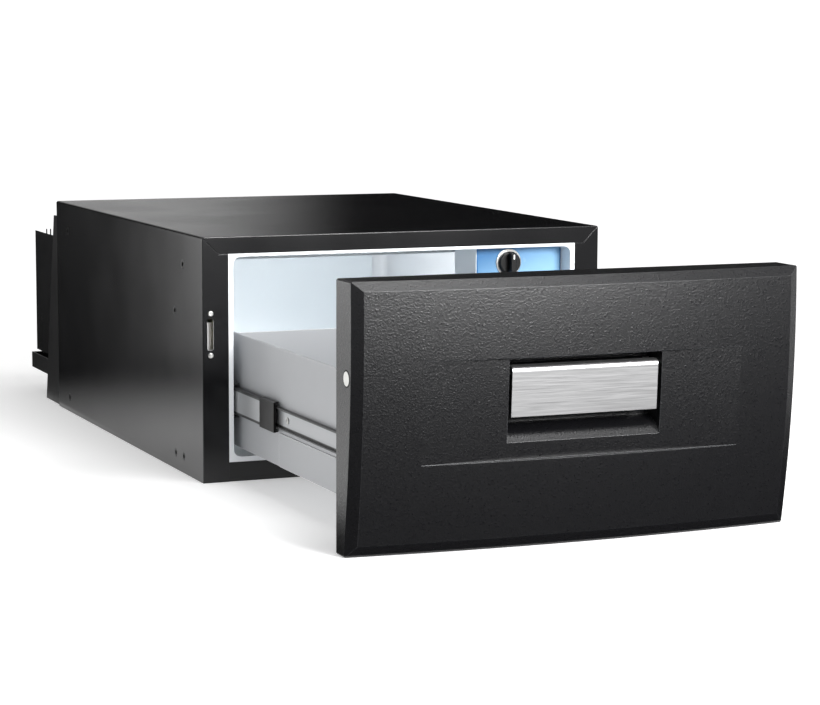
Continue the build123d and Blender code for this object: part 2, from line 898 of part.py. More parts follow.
def recess_room(grow):
    """The space of the handle recess, its walls moved out by grow."""
    wall_y = door_back - recess_floor + grow
    low = recess_low - grow
    far_y = door_back - blank_deep
    radius = scoop_radius + grow
    with BuildPart() as room:
        with BuildSketch(Plane.YZ.offset(-recess_width / 2 - grow)):
            with BuildLine():
                Line((far_y, low), (wall_y - radius, low))
                RadiusArc((wall_y - radius, low), (wall_y, low + radius), radius)
                Line((wall_y, low + radius), (wall_y, recess_high + grow))
                Line((wall_y, recess_high + grow), (far_y, recess_high + grow))
                Line((far_y, recess_high + grow), (far_y, low))
            make_face()
        extrude(amount=recess_width + 2 * grow)
    return room.part


def shaft_tunnel(radius):
    """A bore along the latch shaft across the whole door."""
    return rod((-door_half - form_over, shaft_y, shaft_z), (1, 0, 0), radius, door_width + 2 * form_over)


hook_lip_top = slot_high - hook_top_gap
hook_arm_high = hook_lip_top - hook_lip
hook_arm_low = hook_arm_high - hook_arm


def hook_slots(gap):
    """The openings in the door's back that the two hooks pass through."""
    with BuildPart() as slots:
        for name, side in sides:
            xs = (side * (slot_x - hook_thick / 2 - gap), side * (door_half - door_wall))
            ys = (shaft_y - hook_boss - gap, door_back + gasket_thick)
            add(block(xs, ys, (hook_arm_low - hook_swing_room, hook_lip_top + hook_lip)))
    return slots.part


with BuildPart() as door_blank:
    add(block((-door_half, door_half), (door_back - blank_deep, door_back), door_zs))
    fillet(door_blank.edges().filter_by(Axis.Y), door_corner)
    add(behind_front(0), mode=Mode.INTERSECT)
    add(level_bevel(door_zs[1], -1), mode=Mode.INTERSECT)
    add(level_bevel(door_zs[0], 1), mode=Mode.INTERSECT)
    add(upright_bevel(-1), mode=Mode.INTERSECT)
    add(upright_bevel(1), mode=Mode.INTERSECT)

with BuildPart() as door_room:
    add(
        block(
            (door_wall - door_half, door_half - door_wall),
            (door_back - blank_deep, door_back),
            (door_zs[0] + door_wall, door_zs[1] - door_wall),
        )
    )
    add(behind_front(door_wall + bevel_deep), mode=Mode.INTERSECT)

with BuildPart() as band_cut:
    add(block((-door_half, door_half), (door_back - blank_deep, door_back), (band_low, band_high)))
    with BuildSketch(Plane.YZ.offset(-door_half - form_over)):
        with Locations((camber_axis_y, apex_z)):
            Circle(camber_radius - band_drop)
    extrude(amount=door_width + 2 * form_over, mode=Mode.SUBTRACT)

with BuildPart() as door_cover:
    add(door_blank.part)
    add(door_room.part, mode=Mode.SUBTRACT)
    add(recess_room(recess_wall).intersect(door_blank.part))
    add(band_cut.part, mode=Mode.SUBTRACT)
    add(recess_room(0), mode=Mode.SUBTRACT)
    add(shaft_tunnel(shaft_radius + shaft_clearance), mode=Mode.SUBTRACT)
    for name, side in sides:
        start = (side * (door_half + cap_dome), shaft_y, shaft_z)
        add(rod(start, (-side, 0, 0), cap_radius, cap_depth), mode=Mode.SUBTRACT)
save(door_cover, "door_cover")

inner_panel_xs = (door_wall - door_half, door_half - door_wall)
inner_panel_zs = (door_zs[0] + door_wall, door_zs[1] - door_wall)
with BuildPart() as door_inner_panel:
    add(block(inner_panel_xs, (door_back - inner_panel_thick, door_back), inner_panel_zs))
    add(hook_slots(hook_side_gap), mode=Mode.SUBTRACT)
    for name, side in sides:
        add(bracket_holes(side), mode=Mode.SUBTRACT)
save(door_inner_panel, "door_inner_panel")

with BuildPart() as door_foam:
    add(door_room.part)
    add(recess_room(recess_wall), mode=Mode.SUBTRACT)
    panel_ys = (door_back - inner_panel_thick, door_back)
    add(block(inner_panel_xs, panel_ys, inner_panel_zs), mode=Mode.SUBTRACT)
    add(shaft_tunnel(shaft_radius + foam_clearance), mode=Mode.SUBTRACT)
    add(hook_slots(foam_clearance), mode=Mode.SUBTRACT)
    for name, side in sides:
        start = (side * door_half, shaft_y, shaft_z)
        add(rod(start, (-side, 0, 0), cap_radius + foam_clearance, cap_depth), mode=Mode.SUBTRACT)
save(door_foam, "door_foam")

gasket_wide = 2 * (door_half - gasket_inset)
gasket_tall = door_zs[1] - door_zs[0] - 2 * gasket_inset_z
with BuildPart() as door_gasket:
    with BuildSketch(Plane.XZ.offset(-door_back)):
        with Locations((0, door_z)):
            RectangleRounded(gasket_wide, gasket_tall, gasket_corner)
            RectangleRounded(
                gasket_wide - 2 * gasket_width,
                gasket_tall - 2 * gasket_width,
                gasket_corner - gasket_width,
                mode=Mode.SUBTRACT,
            )
    extrude(amount=-gasket_thick)
    fillet(door_gasket.faces().sort_by(Axis.Y)[-1].outer_wire().edges(), gasket_round)
save(door_gasket, "door_gasket")


def end_cap(side):
    """The domed cap that closes the shaft's hole in the door's side."""
    outer_x = door_half + cap_dome
    with BuildPart() as cap:
        add(rod((side * outer_x, shaft_y, shaft_z), (-side, 0, 0), cap_radius - cap_clearance, cap_depth))
        outer_face = cap.faces().sort_by(Axis((0, shaft_y, shaft_z), (side, 0, 0)))[-1]
        fillet(outer_face.edges(), cap_dome)
        socket = (side * (outer_x - cap_depth), shaft_y, shaft_z)
        add(rod(socket, (side, 0, 0), shaft_radius + shaft_clearance, cap_socket), mode=Mode.SUBTRACT)
    return cap.part


with BuildPart() as shaft_caps:
    for name, side in sides:
        add(end_cap(side))
save(shaft_caps, "shaft_caps")

# ------------------------------------------------------------ handle and latch
shaft_end = door_half + cap_dome - cap_depth + cap_socket - shaft_end_gap
with BuildPart() as latch_shaft:
    add(rod((-shaft_end, shaft_y, shaft_z), (1, 0, 0), shaft_radius, 2 * shaft_end))
    chamfer(latch_shaft.faces().filter_by(Axis.X).edges(), shaft_chamfer)
save(latch_shaft, "latch_shaft")

plate_front_low = door_back - front_depth(band_reach, plate_low) + plate_setback
plate_front_high = door_back - front_depth(band_reach, plate_high - plate_roll) + plate_setback


def handle_outline(inset, low, lip):
    """The (Y, Z) places of the handle's face, moved back by inset."""
    roll_y = plate_front_high + plate_roll
    return (
        (plate_front_low + inset, low),
        (plate_front_high + inset, plate_high - plate_roll),
        (roll_y, plate_high - inset),
        (roll_y + lip, plate_high - inset),
    )


with BuildPart() as handle_plate:
    outer = handle_outline(0, plate_low, plate_lip)
    inner = handle_outline(plate_sheet, plate_low, plate_lip)
    with BuildSketch(Plane.YZ.offset(-plate_width / 2)):
        with BuildLine():
            Line(outer[0], outer[1])
            TangentArc(outer[1], outer[2], tangent=Vector(outer[1]) - Vector(outer[0]))
            Line(outer[2], outer[3])
            Line(outer[3], inner[3])
            Line(inner[3], inner[2])
            RadiusArc(inner[2], inner[1], plate_sheet - plate_roll)
            Line(inner[1], inner[0])
            Line(inner[0], outer[0])
        make_face()
    extrude(amount=plate_width)
save(handle_plate, "handle_plate")

with BuildPart() as handle_carrier:
    pad = handle_outline(plate_sheet, plate_low + carrier_inset, 0)
    pad_back = [(y + carrier_pad, z) for y, z in pad[:2]]
    head_low = shaft_z - carrier_boss
    head_high = plate_high - plate_roll
    with BuildSketch(Plane.YZ.offset(-carrier_width / 2)):
        with BuildLine():
            Polyline(pad[0], pad[1], pad_back[1], pad_back[0], close=True)
        make_face()
    extrude(amount=carrier_width)
    web_zs = (shaft_z - carrier_web_low, shaft_z + carrier_web_high)
    add(block((-carrier_width / 2, carrier_width / 2), (pad[1][0] + carrier_pad / 2, shaft_y), web_zs))
    for side in (-1, 1):
        rib_xs = (side * (carrier_width / 2 - carrier_arm), side * carrier_width / 2)
        add(block(rib_xs, (pad[1][0] + carrier_pad / 2, shaft_y), (head_low, head_high)))
    add(rod((-carrier_width / 2, shaft_y, shaft_z), (1, 0, 0), carrier_boss, carrier_width))
    add(shaft_tunnel(shaft_radius), mode=Mode.SUBTRACT)
save(handle_carrier, "handle_carrier")



def hook(side):
    """A latch hook: a boss on the shaft and an arm with a lip that points up."""
    tip_y = door_back + hook_reach
    lip_y = tip_y - hook_arm
    with BuildPart() as arm:
        with BuildSketch(Plane.YZ.offset(side * slot_x - hook_thick / 2)):
            with Locations((shaft_y, shaft_z)):
                Circle(hook_boss)
            with BuildLine():
                Polyline(
                    (shaft_y, hook_arm_low),
                    (tip_y, hook_arm_low),
                    (tip_y, hook_arm_high),
                    (lip_y, hook_lip_top),
                    (lip_y - hook_tip_flat, hook_lip_top),
                    (lip_y - hook_tip_flat, hook_arm_high),
                    (shaft_y, hook_arm_high),
                    close=True,
                )
            make_face()
            with Locations((shaft_y, shaft_z)):
                Circle(shaft_radius, mode=Mode.SUBTRACT)
        extrude(amount=hook_thick)
    return arm.part


with BuildPart() as latch_hooks:
    for name, side in sides:
        add(hook(side))
save(latch_hooks, "latch_hooks")

coil_radius = shaft_radius + spring_gap + spring_wire / 2
coil_start = (carrier_width / 2 + spring_side_gap, shaft_y, shaft_z)
with BuildPart() as handle_spring:
    with BuildLine() as coil:
        Helix(coil_pitch, coil_pitch * spring_turns, coil_radius, center=coil_start, direction=(1, 0, 0))
    with BuildSketch(Plane(origin=coil.line @ 0, z_dir=coil.line % 0)):
        Circle(spring_wire / 2)
    sweep(path=coil.line, is_frenet=True)
save(handle_spring, "handle_spring")

# --------------------------------------------------------------- control unit
control_x = inner_x - control_width
control_front = front + control_setback
control_back = control_front + control_depth
control_low = ceiling_z - control_height
knob_x = inner_x - knob_from_right
knob_z = ceiling_z - knob_drop
label_front = control_front - label_thick
ring_front = label_front - ring_thick
lens_x = knob_x + thermostat_width / 2 + lens_gap
lens_xs = (lens_x, lens_x + lens_width)
lens_ys = (control_front + lens_from_front, control_front + lens_from_front + lens_depth)
lens_low = control_low - lens_proud
passage_radius = capillary_radius + capillary_clearance
bulb_z = evaporator_z + evaporator_sheet + bulb_radius
with BuildPart() as control_housing:
    add(block((control_x, inner_x), (control_front, control_back), (control_low, ceiling_z)))
    low_edges = control_housing.edges().filter_by(Axis.Y).group_by(Axis.Z)[0]
    fillet(low_edges.sort_by(Axis.X)[0], control_wall)
    add(
        block(
            (control_x + control_wall, inner_x - control_wall),
            (control_front + control_wall, control_back - control_wall),
            (control_low + control_wall, ceiling_z + 1),
        ),
        mode=Mode.SUBTRACT,
    )
    add(liner_cavity.part, mode=Mode.INTERSECT)
    spindle_start = (knob_x, label_front, knob_z)
    add(rod(spindle_start, (0, 1, 0), spindle_radius + shaft_clearance, 2 * control_wall), mode=Mode.SUBTRACT)
    add(block(lens_xs, lens_ys, (control_low - 1, control_low + control_wall + 1)), mode=Mode.SUBTRACT)
    passage_start = (knob_x, control_back - 2 * control_wall, bulb_z)
    add(rod(passage_start, (0, 1, 0), passage_radius, 3 * control_wall), mode=Mode.SUBTRACT)
save(control_housing, "control_housing")

with BuildPart() as light_lens:
    add(block(lens_xs, lens_ys, (lens_low, lens_low + lens_thick)))
    fillet(light_lens.faces().sort_by(Axis.Z)[0].edges(), lens_proud)
save(light_lens, "light_lens")

with BuildPart() as control_label:
    label_xs = (control_x + label_margin, inner_x - label_margin)
    label_zs = (control_low + 2 * label_margin, ceiling_z - label_margin)
    add(block(label_xs, (label_front, control_front), label_zs))
    add(rod(spindle_start, (0, 1, 0), spindle_radius + label_margin, label_thick), mode=Mode.SUBTRACT)
    add(liner_cavity.part, mode=Mode.INTERSECT)
save(control_label, "control_label")

with BuildPart() as knob_ring:
    with BuildSketch(Plane.XZ.offset(-label_front)):
        with Locations((knob_x, knob_z)):
            Circle(ring_radius)
            Circle(spindle_radius + label_margin, mode=Mode.SUBTRACT)
    extrude(amount=ring_thick)
    front_circles = knob_ring.edges().filter_by(GeomType.CIRCLE).group_by(Axis.Y)[0]
    fillet(front_circles.sort_by(SortBy.LENGTH)[-1], ring_round)
save(knob_ring, "knob_ring")

knob_back = ring_front - knob_clearance
with BuildPart() as thermostat_knob:
    with BuildSketch(Plane.XZ.offset(-knob_back)):
        with Locations((knob_x, knob_z)):
            Circle(knob_radius)
    extrude(amount=knob_skirt)
    fillet(thermostat_knob.faces().sort_by(Axis.Y)[0].edges(), knob_round)
    with BuildSketch(Plane.XZ.offset(-(knob_back - knob_skirt))):
        with Locations((knob_x, knob_z)):
            SlotOverall(2 * (knob_radius - grip_inset), grip_width, rotation=90)
    extrude(amount=knob_long - knob_skirt)
    fillet(thermostat_knob.faces().sort_by(Axis.Y)[0].edges(), grip_round)
    spindle_from = (knob_x, knob_back, knob_z)
    spindle_length = control_front + control_wall + spindle_seat - knob_back
    add(rod(spindle_from, (0, 1, 0), spindle_radius, spindle_length))
save(thermostat_knob, "thermostat_knob")

with BuildPart() as thermostat_body:
    body_front = control_front + control_wall
    body_xs = (knob_x - thermostat_width / 2, knob_x + thermostat_width / 2)
    body_zs = (knob_z - thermostat_height / 2, knob_z + thermostat_height / 2)
    add(block(body_xs, (body_front, body_front + thermostat_depth), body_zs))
    fillet(thermostat_body.edges().filter_by(Axis.Y), thermostat_corner)
    bore_from = (knob_x, body_front - control_wall, knob_z)
    bore_long = 2 * control_wall + spindle_seat
    add(rod(bore_from, (0, 1, 0), spindle_radius + shaft_clearance, bore_long), mode=Mode.SUBTRACT)
    tube_from = (knob_x, body_front + thermostat_depth - control_wall, bulb_z)
    bulb_from = (knob_x, front + evaporator_front + bulb_from_edge, bulb_z)
    add(rod(tube_from, (0, 1, 0), capillary_radius, bulb_from[1] - tube_from[1]))
    add(rod(bulb_from, (0, 1, 0), bulb_radius, bulb_long))
save(thermostat_body, "thermostat_body")

# ------------------------------------------------------------------ evaporator
evaporator_half = evaporator_width / 2
with BuildPart() as evaporator_plate:
    evaporator_ys = (front + evaporator_front, evaporator_back + evaporator_sheet)
    evaporator_xs = (-evaporator_half, evaporator_half)
    tail_ys = (evaporator_back, evaporator_back + evaporator_sheet)
    add(block(evaporator_xs, evaporator_ys, (evaporator_z, evaporator_z + evaporator_sheet)))
    add(block(evaporator_xs, tail_ys, (evaporator_z - evaporator_tail, evaporator_z)))
    outer_corner = evaporator_plate.edges().filter_by(Axis.X).group_by(Axis.Z)[-1].sort_by(Axis.Y)[-1]
    fillet(outer_corner, evaporator_sheet * 0.9)
    turn_x = evaporator_half - channel_width - channel_edge
    turns = []
    for row in range(channel_count):
        y = front + evaporator_front + channel_width + channel_edge + row * channel_pitch
        ends = ((-turn_x, y), (turn_x, y))
        turns.extend(ends if row % 2 == 0 else ends[::-1])
    with BuildSketch(Plane.XY.offset(evaporator_z)):
        with BuildLine():
            FilletPolyline(*turns, radius=channel_pitch * 0.48)
        trace(line_width=channel_width)
    extrude(amount=-channel_proud)
save(evaporator_plate, "evaporator_plate")

with BuildPart() as evaporator_spacers:
    low = evaporator_z + evaporator_sheet
    for x in (spacer_inset - evaporator_half, evaporator_half - spacer_inset):
        for y in (front + evaporator_front + spacer_inset, evaporator_back - spacer_inset):
            add(rod((x, y, low), (0, 0, 1), spacer_radius, ceiling_z - low))
save(evaporator_spacers, "evaporator_spacers")

# ---------------------------------------------------------- rear cooling unit
gusset_x = half_width - gusset_inset
tray_back = back + overhang
gusset_screw_places = []
for name, side in sides:
    for share in gusset_screw_shares:
        gusset_screw_places.append((side * (half_width - gusset_screw_inset), gusset_height * share))


def gusset(side):
    """A tapered side bracket that stands on the floor and carries the tray."""
    outline = (
        (back, 0),
        (back + gusset_bottom, 0),
        (back + gusset_top, gusset_height),
        (back, gusset_height),
    )
    xs = sorted((side * gusset_x, side * (gusset_x - gusset_sheet)))
    flange_xs = (side * (gusset_x - gusset_flange), side * gusset_x)
    with BuildPart() as bracket_plate:
        add(side_plate(outline, *xs))
        add(block(flange_xs, (back, back + gusset_sheet), (steel, gusset_height)))
        with BuildSketch(Plane.XZ.offset(-back)):
            with Locations(*gusset_screw_places):
                Circle(screw_radius)
        extrude(amount=-2 * gusset_sheet, mode=Mode.SUBTRACT)
    return bracket_plate.part


with BuildPart() as rear_gussets:
    for name, side in sides:
        add(gusset(side))
save(rear_gussets, "rear_gussets")

with BuildPart() as gusset_screws:
    for x, z in gusset_screw_places:
        head_at = (x, back + gusset_sheet, z)
        add(pan_screw(head_at, (0, -1, 0), screw_head, pan_head_high, screw_radius, gusset_sheet))
save(gusset_screws, "gusset_screws")

tray_x = gusset_x - gusset_sheet
tray_ys = (back + gusset_sheet, tray_back)
tray_top = tray_z + tray_sheet
with BuildPart() as carrier_tray:
    add(block((-tray_x, tray_x), tray_ys, (tray_z, tray_top)))
    for name, side in sides:
        add(block((side * (tray_x - tray_sheet), side * tray_x), tray_ys, (tray_z, tray_z + tray_lip)))
    add(block((-tray_x, tray_x), (tray_back - tray_sheet, tray_back), (tray_z, tray_z + tray_lip)))
    with BuildSketch(Plane.XY.offset(tray_z)):
        with Locations((fan_x, back + fan_from_back)):
            with GridLocations(vent_pitch_x, vent_pitch_y, vent_columns, vent_rows):
                SlotOverall(vent_slot_long, vent_slot_wide, rotation=90)
        with Locations((compressor_x, compressor_y)):
            with GridLocations(foot_pitch, foot_pitch, 2, 2):
                Circle(bolt_radius + bolt_clearance)
    extrude(amount=tray_sheet, mode=Mode.SUBTRACT)
save(carrier_tray, "carrier_tray")

with BuildPart() as compressor:
    with BuildSketch(Plane.XY.offset(compressor_low)):
        with Locations((compressor_x, compressor_y)):
            RectangleRounded(foot_pitch + foot_margin, foot_pitch + foot_margin, foot_margin / 2)
            with GridLocations(foot_pitch, foot_pitch, 2, 2):
                Circle(foot_hole, mode=Mode.SUBTRACT)
    extrude(amount=foot_sheet)
    with BuildSketch(Plane.XY.offset(compressor_low)):
        with Locations((compressor_x, compressor_y)):
            Circle(compressor_radius)
    extrude(amount=compressor_height)
    fillet(compressor.faces().sort_by(Axis.Z)[-1].edges(), compressor_crown)
    with BuildSketch(Plane.XY.offset(compressor_low + compressor_height * compressor_seam_share)):
        with Locations((compressor_x, compressor_y)):
            Circle(compressor_radius + compressor_seam_proud)
    extrude(amount=compressor_seam)
    stub_low = compressor_top - stub_base
    for x, stub_long in ((suction_x, suction_stub), (discharge_x, discharge_stub)):
        add(rod((x, compressor_y, stub_low), (0, 0, 1), pipe_radius + stub_wall, stub_long))
    for x in (suction_x, discharge_x):
        socket = (x, compressor_y, compressor_top - stub_deep)
        add(rod(socket, (0, 0, 1), pipe_radius, stub_base), mode=Mode.SUBTRACT)
save(compressor, "compressor")

with BuildPart() as rubber_grommets:
    with BuildSketch(Plane.XY.offset(tray_top)):
        with Locations((compressor_x, compressor_y)):
            with GridLocations(foot_pitch, foot_pitch, 2, 2):
                Circle(grommet_radius)
                Circle(bolt_radius + bolt_clearance, mode=Mode.SUBTRACT)
    extrude(amount=grommet_height)
save(rubber_grommets, "rubber_grommets")

with BuildPart() as tray_bolts:
    with BuildSketch(Plane.XY.offset(tray_z)):
        with Locations((compressor_x, compressor_y)):
            with GridLocations(foot_pitch, foot_pitch, 2, 2):
                Circle(bolt_radius)
    extrude(amount=compressor_low + foot_sheet - tray_z)
    with BuildSketch(Plane.XY.offset(compressor_low + foot_sheet)):
        with Locations((compressor_x, compressor_y)):
            with GridLocations(foot_pitch, foot_pitch, 2, 2):
                RegularPolygon(bolt_head_radius, 6)
    extrude(amount=bolt_head_high)
save(tray_bolts, "tray_bolts")

side_run = (back + condenser_start, condenser_y)
condenser_points = []
for row, z in enumerate(condenser_heights):
    corners = [
        (-condenser_x, side_run[0], z),
        (-condenser_x, side_run[1], z),
        (condenser_x, side_run[1], z),
        (condenser_x, side_run[0], z),
    ]
    condenser_points.extend(corners if row % 2 == 0 else corners[::-1])
condenser_bends = []
for index in range(1, len(condenser_points) - 1):
    condenser_bends.append(row_bend if index % 4 in (0, 3) else condenser_bend)
with BuildPart() as condenser_tube:
    with BuildLine() as condenser_route:
        FilletPolyline(*condenser_points, radius=condenser_bends)
    with BuildSketch(Plane(origin=condenser_route.line @ 0, z_dir=condenser_route.line % 0)):
        Circle(condenser_tube_radius)
    sweep(path=condenser_route.line)
save(condenser_tube, "condenser_tube")

wire_low = condenser_heights[0] - wire_over
wire_high = condenser_heights[-1] + wire_over
wire_gap = condenser_tube_radius + wire_radius
wire_start = side_run[0] + wire_from_bend
side_wires = int((condenser_y - condenser_bend - wire_start) // wire_pitch) + 1
rear_wires = int(2 * (condenser_x - condenser_bend) // wire_pitch) + 1
rear_start = -(rear_wires - 1) * wire_pitch / 2
wire_places = []
for name, side in sides:
    for step in range(side_wires):
        wire_places.append((side * (condenser_x + wire_gap), wire_start + step * wire_pitch))
for step in range(rear_wires):
    wire_places.append((rear_start + step * wire_pitch, condenser_y + wire_gap))
with BuildPart() as condenser_wires:
    with BuildSketch(Plane.XY.offset(wire_low)):
        with Locations(*wire_places):
            Circle(wire_radius)
    extrude(amount=wire_high - wire_low)
save(condenser_wires, "condenser_wires")

post_zs = (tray_top, wire_high - post_drop)
with BuildPart() as condenser_posts:
    for name, side in sides:
        x = condenser_x - condenser_tube_radius
        y = side_run[0] + post_from_start
        add(block((side * (x - post_sheet), side * x), (y, y + post_width), post_zs))
    y = condenser_y - condenser_tube_radius
    add(block((-post_width / 2, post_width / 2), (y - post_sheet, y), post_zs))
save(condenser_posts, "condenser_posts")

discharge_z = compressor_top + discharge_rise
discharge_points = (
    (discharge_x, compressor_y, compressor_top - stub_deep),
    (discharge_x, compressor_y, discharge_z),
    (discharge_x, side_run[0], discharge_z),
)
with BuildPart() as discharge_pipe:
    add(pipe(discharge_points, pipe_radius, pipe_bend))
save(discharge_pipe, "discharge_pipe")

# ------------------------------------------------------------------------- fan
fan_y = back + fan_from_back
fan_z = tray_top + fan_size / 2
with BuildPart() as fan_frame:
    with BuildSketch(Plane.XZ.offset(-fan_y)):
        with Locations((fan_x, fan_z)):
            RectangleRounded(fan_size, fan_size, fan_corner)
            Circle(fan_bore_radius, mode=Mode.SUBTRACT)
            with GridLocations(fan_screw_pitch, fan_screw_pitch, 2, 2):
                Circle(fan_screw_hole, mode=Mode.SUBTRACT)
    extrude(amount=-fan_deep)
    with BuildSketch(Plane.XZ.offset(-fan_y)):
        with Locations((fan_x, fan_z)):
            Circle(fan_hub_radius)
            with PolarLocations(fan_bore_radius / 2 + fan_web_gap, 4, start_angle=45):
                Rectangle(fan_bore_radius, fan_web)
    extrude(amount=-fan_web)
    with BuildSketch(Plane.XZ.offset(-(fan_y + fan_web))):
        with Locations((fan_x, fan_z)):
            Circle(fan_pin_radius)
    extrude(amount=-fan_pin_long)
save(fan_frame, "fan_frame")

rotor_y = fan_y + fan_web + fan_web_gap
with BuildPart() as fan_rotor:
    with BuildSketch(Plane.XZ.offset(-rotor_y)):
        with Locations((fan_x, fan_z)):
            Circle(fan_hub_radius)
    extrude(amount=-fan_hub_long)
    for blade in range(fan_blades):
        turn = radians(360 * blade / fan_blades)
        spoke = Plane(
            origin=(fan_x, rotor_y + fan_hub_long / 2, fan_z),
            x_dir=(0, 1, 0),
            z_dir=(cos(turn), 0, sin(turn)),
        )
        with BuildSketch(spoke.offset(fan_hub_radius / 2)):
            Rectangle(fan_blade_long, fan_blade_thick, rotation=fan_blade_turn)
        extrude(amount=fan_bore_radius - fan_tip_clearance - fan_hub_radius / 2)
    bore_from = (fan_x, rotor_y - fan_web_gap, fan_z)
    bore_radius = fan_pin_radius + fan_pin_clearance
    add(rod(bore_from, (0, 1, 0), bore_radius, fan_pin_long + fan_web_gap), mode=Mode.SUBTRACT)
save(fan_rotor, "fan_rotor")

# ----------------------------------------------------------------- electronics
unit_x = fan_x - unit_beside_fan
unit_low = fan_z + fan_size / 2 + unit_above_fan
unit_high = unit_low + unit_height
unit_xs = (unit_x - unit_width / 2, unit_x + unit_width / 2)
with BuildPart() as control_electronics:
    add(block(unit_xs, (back, back + unit_plate), (unit_low, unit_high)))
    fin_ys = (back + unit_plate, back + unit_plate + fin_deep)
    for fin in range(int(unit_width // fin_pitch)):
        x = unit_xs[0] + fin_pitch * (fin + 0.5)
        fin_xs = (x - fin_sheet / 2, x + fin_sheet / 2)
        add(block(fin_xs, fin_ys, (unit_low + fin_inset, unit_high - cover_height - fin_inset)))
save(control_electronics, "control_electronics")

with BuildPart() as electronics_cover:
    add(block(unit_xs, (back + unit_plate, back + unit_depth), (unit_high - cover_height, unit_high)))
    fillet(electronics_cover.faces().sort_by(Axis.Y)[-1].edges(), cover_corner)
save(electronics_cover, "electronics_cover")

terminal_xs = (unit_xs[1] + block_gap, unit_xs[1] + block_gap + block_width)
terminal_zs = (unit_high - block_height, unit_high)
with BuildPart() as supply_terminal:
    add(block(terminal_xs, (back, back + block_depth), terminal_zs))
    fillet(supply_terminal.edges().filter_by(Axis.Y), block_corner)
    with BuildSketch(Plane.XZ.offset(-(back + block_depth))):
        with Locations((sum(terminal_xs) / 2, sum(terminal_zs) / 2)):
            with GridLocations(block_socket_pitch, 0, 2, 1):
                Circle(block_socket)
    extrude(amount=block_socket_deep, mode=Mode.SUBTRACT)
save(supply_terminal, "supply_terminal")

drier_y = back + drier_from_back
drier_z = tray_top + drier_above_tray
with BuildPart() as filter_drier:
    add(rod((drier_x, drier_y, drier_z), (0, 0, 1), drier_radius, drier_length))
    fillet(filter_drier.edges().filter_by(GeomType.CIRCLE), drier_round)
    tail_long = drier_length + 2 * drier_tail
    add(rod((drier_x, drier_y, drier_z - drier_tail), (0, 0, 1), drier_tail_radius, tail_long))
    clamp_zs = (drier_z + drier_length / 2, drier_z + drier_length / 2 + drier_clamp_high)
    add(block((drier_x - drier_tail_radius, drier_x + drier_tail_radius), (back, drier_y), clamp_zs))
save(filter_drier, "filter_drier")
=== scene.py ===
# %% [markdown]
# A built-in drawer fridge for a caravan, drawn with its drawer pulled out.  The
# moving parts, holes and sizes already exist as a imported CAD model.  This file
# dresses that model: it gives each piece the finish of its real material, adds
# the few printed or moulded details that the CAD leaves out, and lights it.

# %% Load the frame
import json
from math import cos, pi, radians, sin, tau

import bmesh
import bpy
from mathutils import Matrix, Vector


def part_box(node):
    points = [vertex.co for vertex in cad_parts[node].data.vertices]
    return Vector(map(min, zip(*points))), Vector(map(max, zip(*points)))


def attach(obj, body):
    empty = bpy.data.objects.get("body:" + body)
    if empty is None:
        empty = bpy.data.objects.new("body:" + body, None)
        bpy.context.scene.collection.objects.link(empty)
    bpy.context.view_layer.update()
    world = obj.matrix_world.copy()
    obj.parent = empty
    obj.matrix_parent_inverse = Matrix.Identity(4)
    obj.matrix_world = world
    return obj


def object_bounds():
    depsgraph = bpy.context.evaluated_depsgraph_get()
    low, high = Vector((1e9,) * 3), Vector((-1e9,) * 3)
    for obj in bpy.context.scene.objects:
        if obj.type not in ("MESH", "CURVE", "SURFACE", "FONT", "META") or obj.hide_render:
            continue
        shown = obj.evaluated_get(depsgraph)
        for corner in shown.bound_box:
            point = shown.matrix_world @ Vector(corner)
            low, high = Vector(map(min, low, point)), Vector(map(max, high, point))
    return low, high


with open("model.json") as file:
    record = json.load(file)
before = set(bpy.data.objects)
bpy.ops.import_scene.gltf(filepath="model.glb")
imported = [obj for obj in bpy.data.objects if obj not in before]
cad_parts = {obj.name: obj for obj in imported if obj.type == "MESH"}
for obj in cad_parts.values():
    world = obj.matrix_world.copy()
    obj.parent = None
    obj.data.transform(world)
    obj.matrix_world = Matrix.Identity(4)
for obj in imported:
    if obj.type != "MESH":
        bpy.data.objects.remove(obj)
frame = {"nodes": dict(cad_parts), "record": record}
nodes = frame["nodes"]
cad_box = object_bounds()
slot_of = {row["node"]: row["material_slot"] for row in frame["record"]["subparts"]}
MM = 0.001
# A mix node names its number and its colour sockets alike, so colours go by socket number.
COLOUR_A, COLOUR_B, COLOUR_RESULT = 6, 7, 2
print("CAD pieces", len(nodes), "box", cad_box)

# %% [markdown]
# Colours are picked as sRGB hex values, because that is how paint and plastic
# samples are usually quoted.  The shaders work in linear light, so one function
# turns a hex value into the linear colour that a socket expects.

# %% Colour
def linear(hex_colour, alpha=1.0):
    """An sRGB hex colour as a linear RGBA tuple."""
    channels = []
    for start in (1, 3, 5):
        value = int(hex_colour[start:start + 2], 16) / 255
        channels.append(value / 12.92 if value <= 0.04045 else ((value + 0.055) / 1.055) ** 2.4)
    return (*channels, alpha)


print("mid grey in linear light", round(linear("#808080")[0], 3))

# %% [markdown]
# Every finish below is a small node tree.  One helper adds a node, sets its
# values and links its inputs, so that a tree reads as a list of steps.

# %% Node helpers
def add_node(tree, kind, settings=None, links=None):
    """Adds one node; settings fill fields or unlinked inputs, links join outputs to inputs."""
    node = tree.nodes.new(kind)
    for field, value in (settings or {}).items():
        if isinstance(field, str) and hasattr(node, field):
            setattr(node, field, value)
        else:
            node.inputs[field].default_value = value
    for socket, source in (links or {}).items():
        tree.links.new(source, node.inputs[socket])
    return node


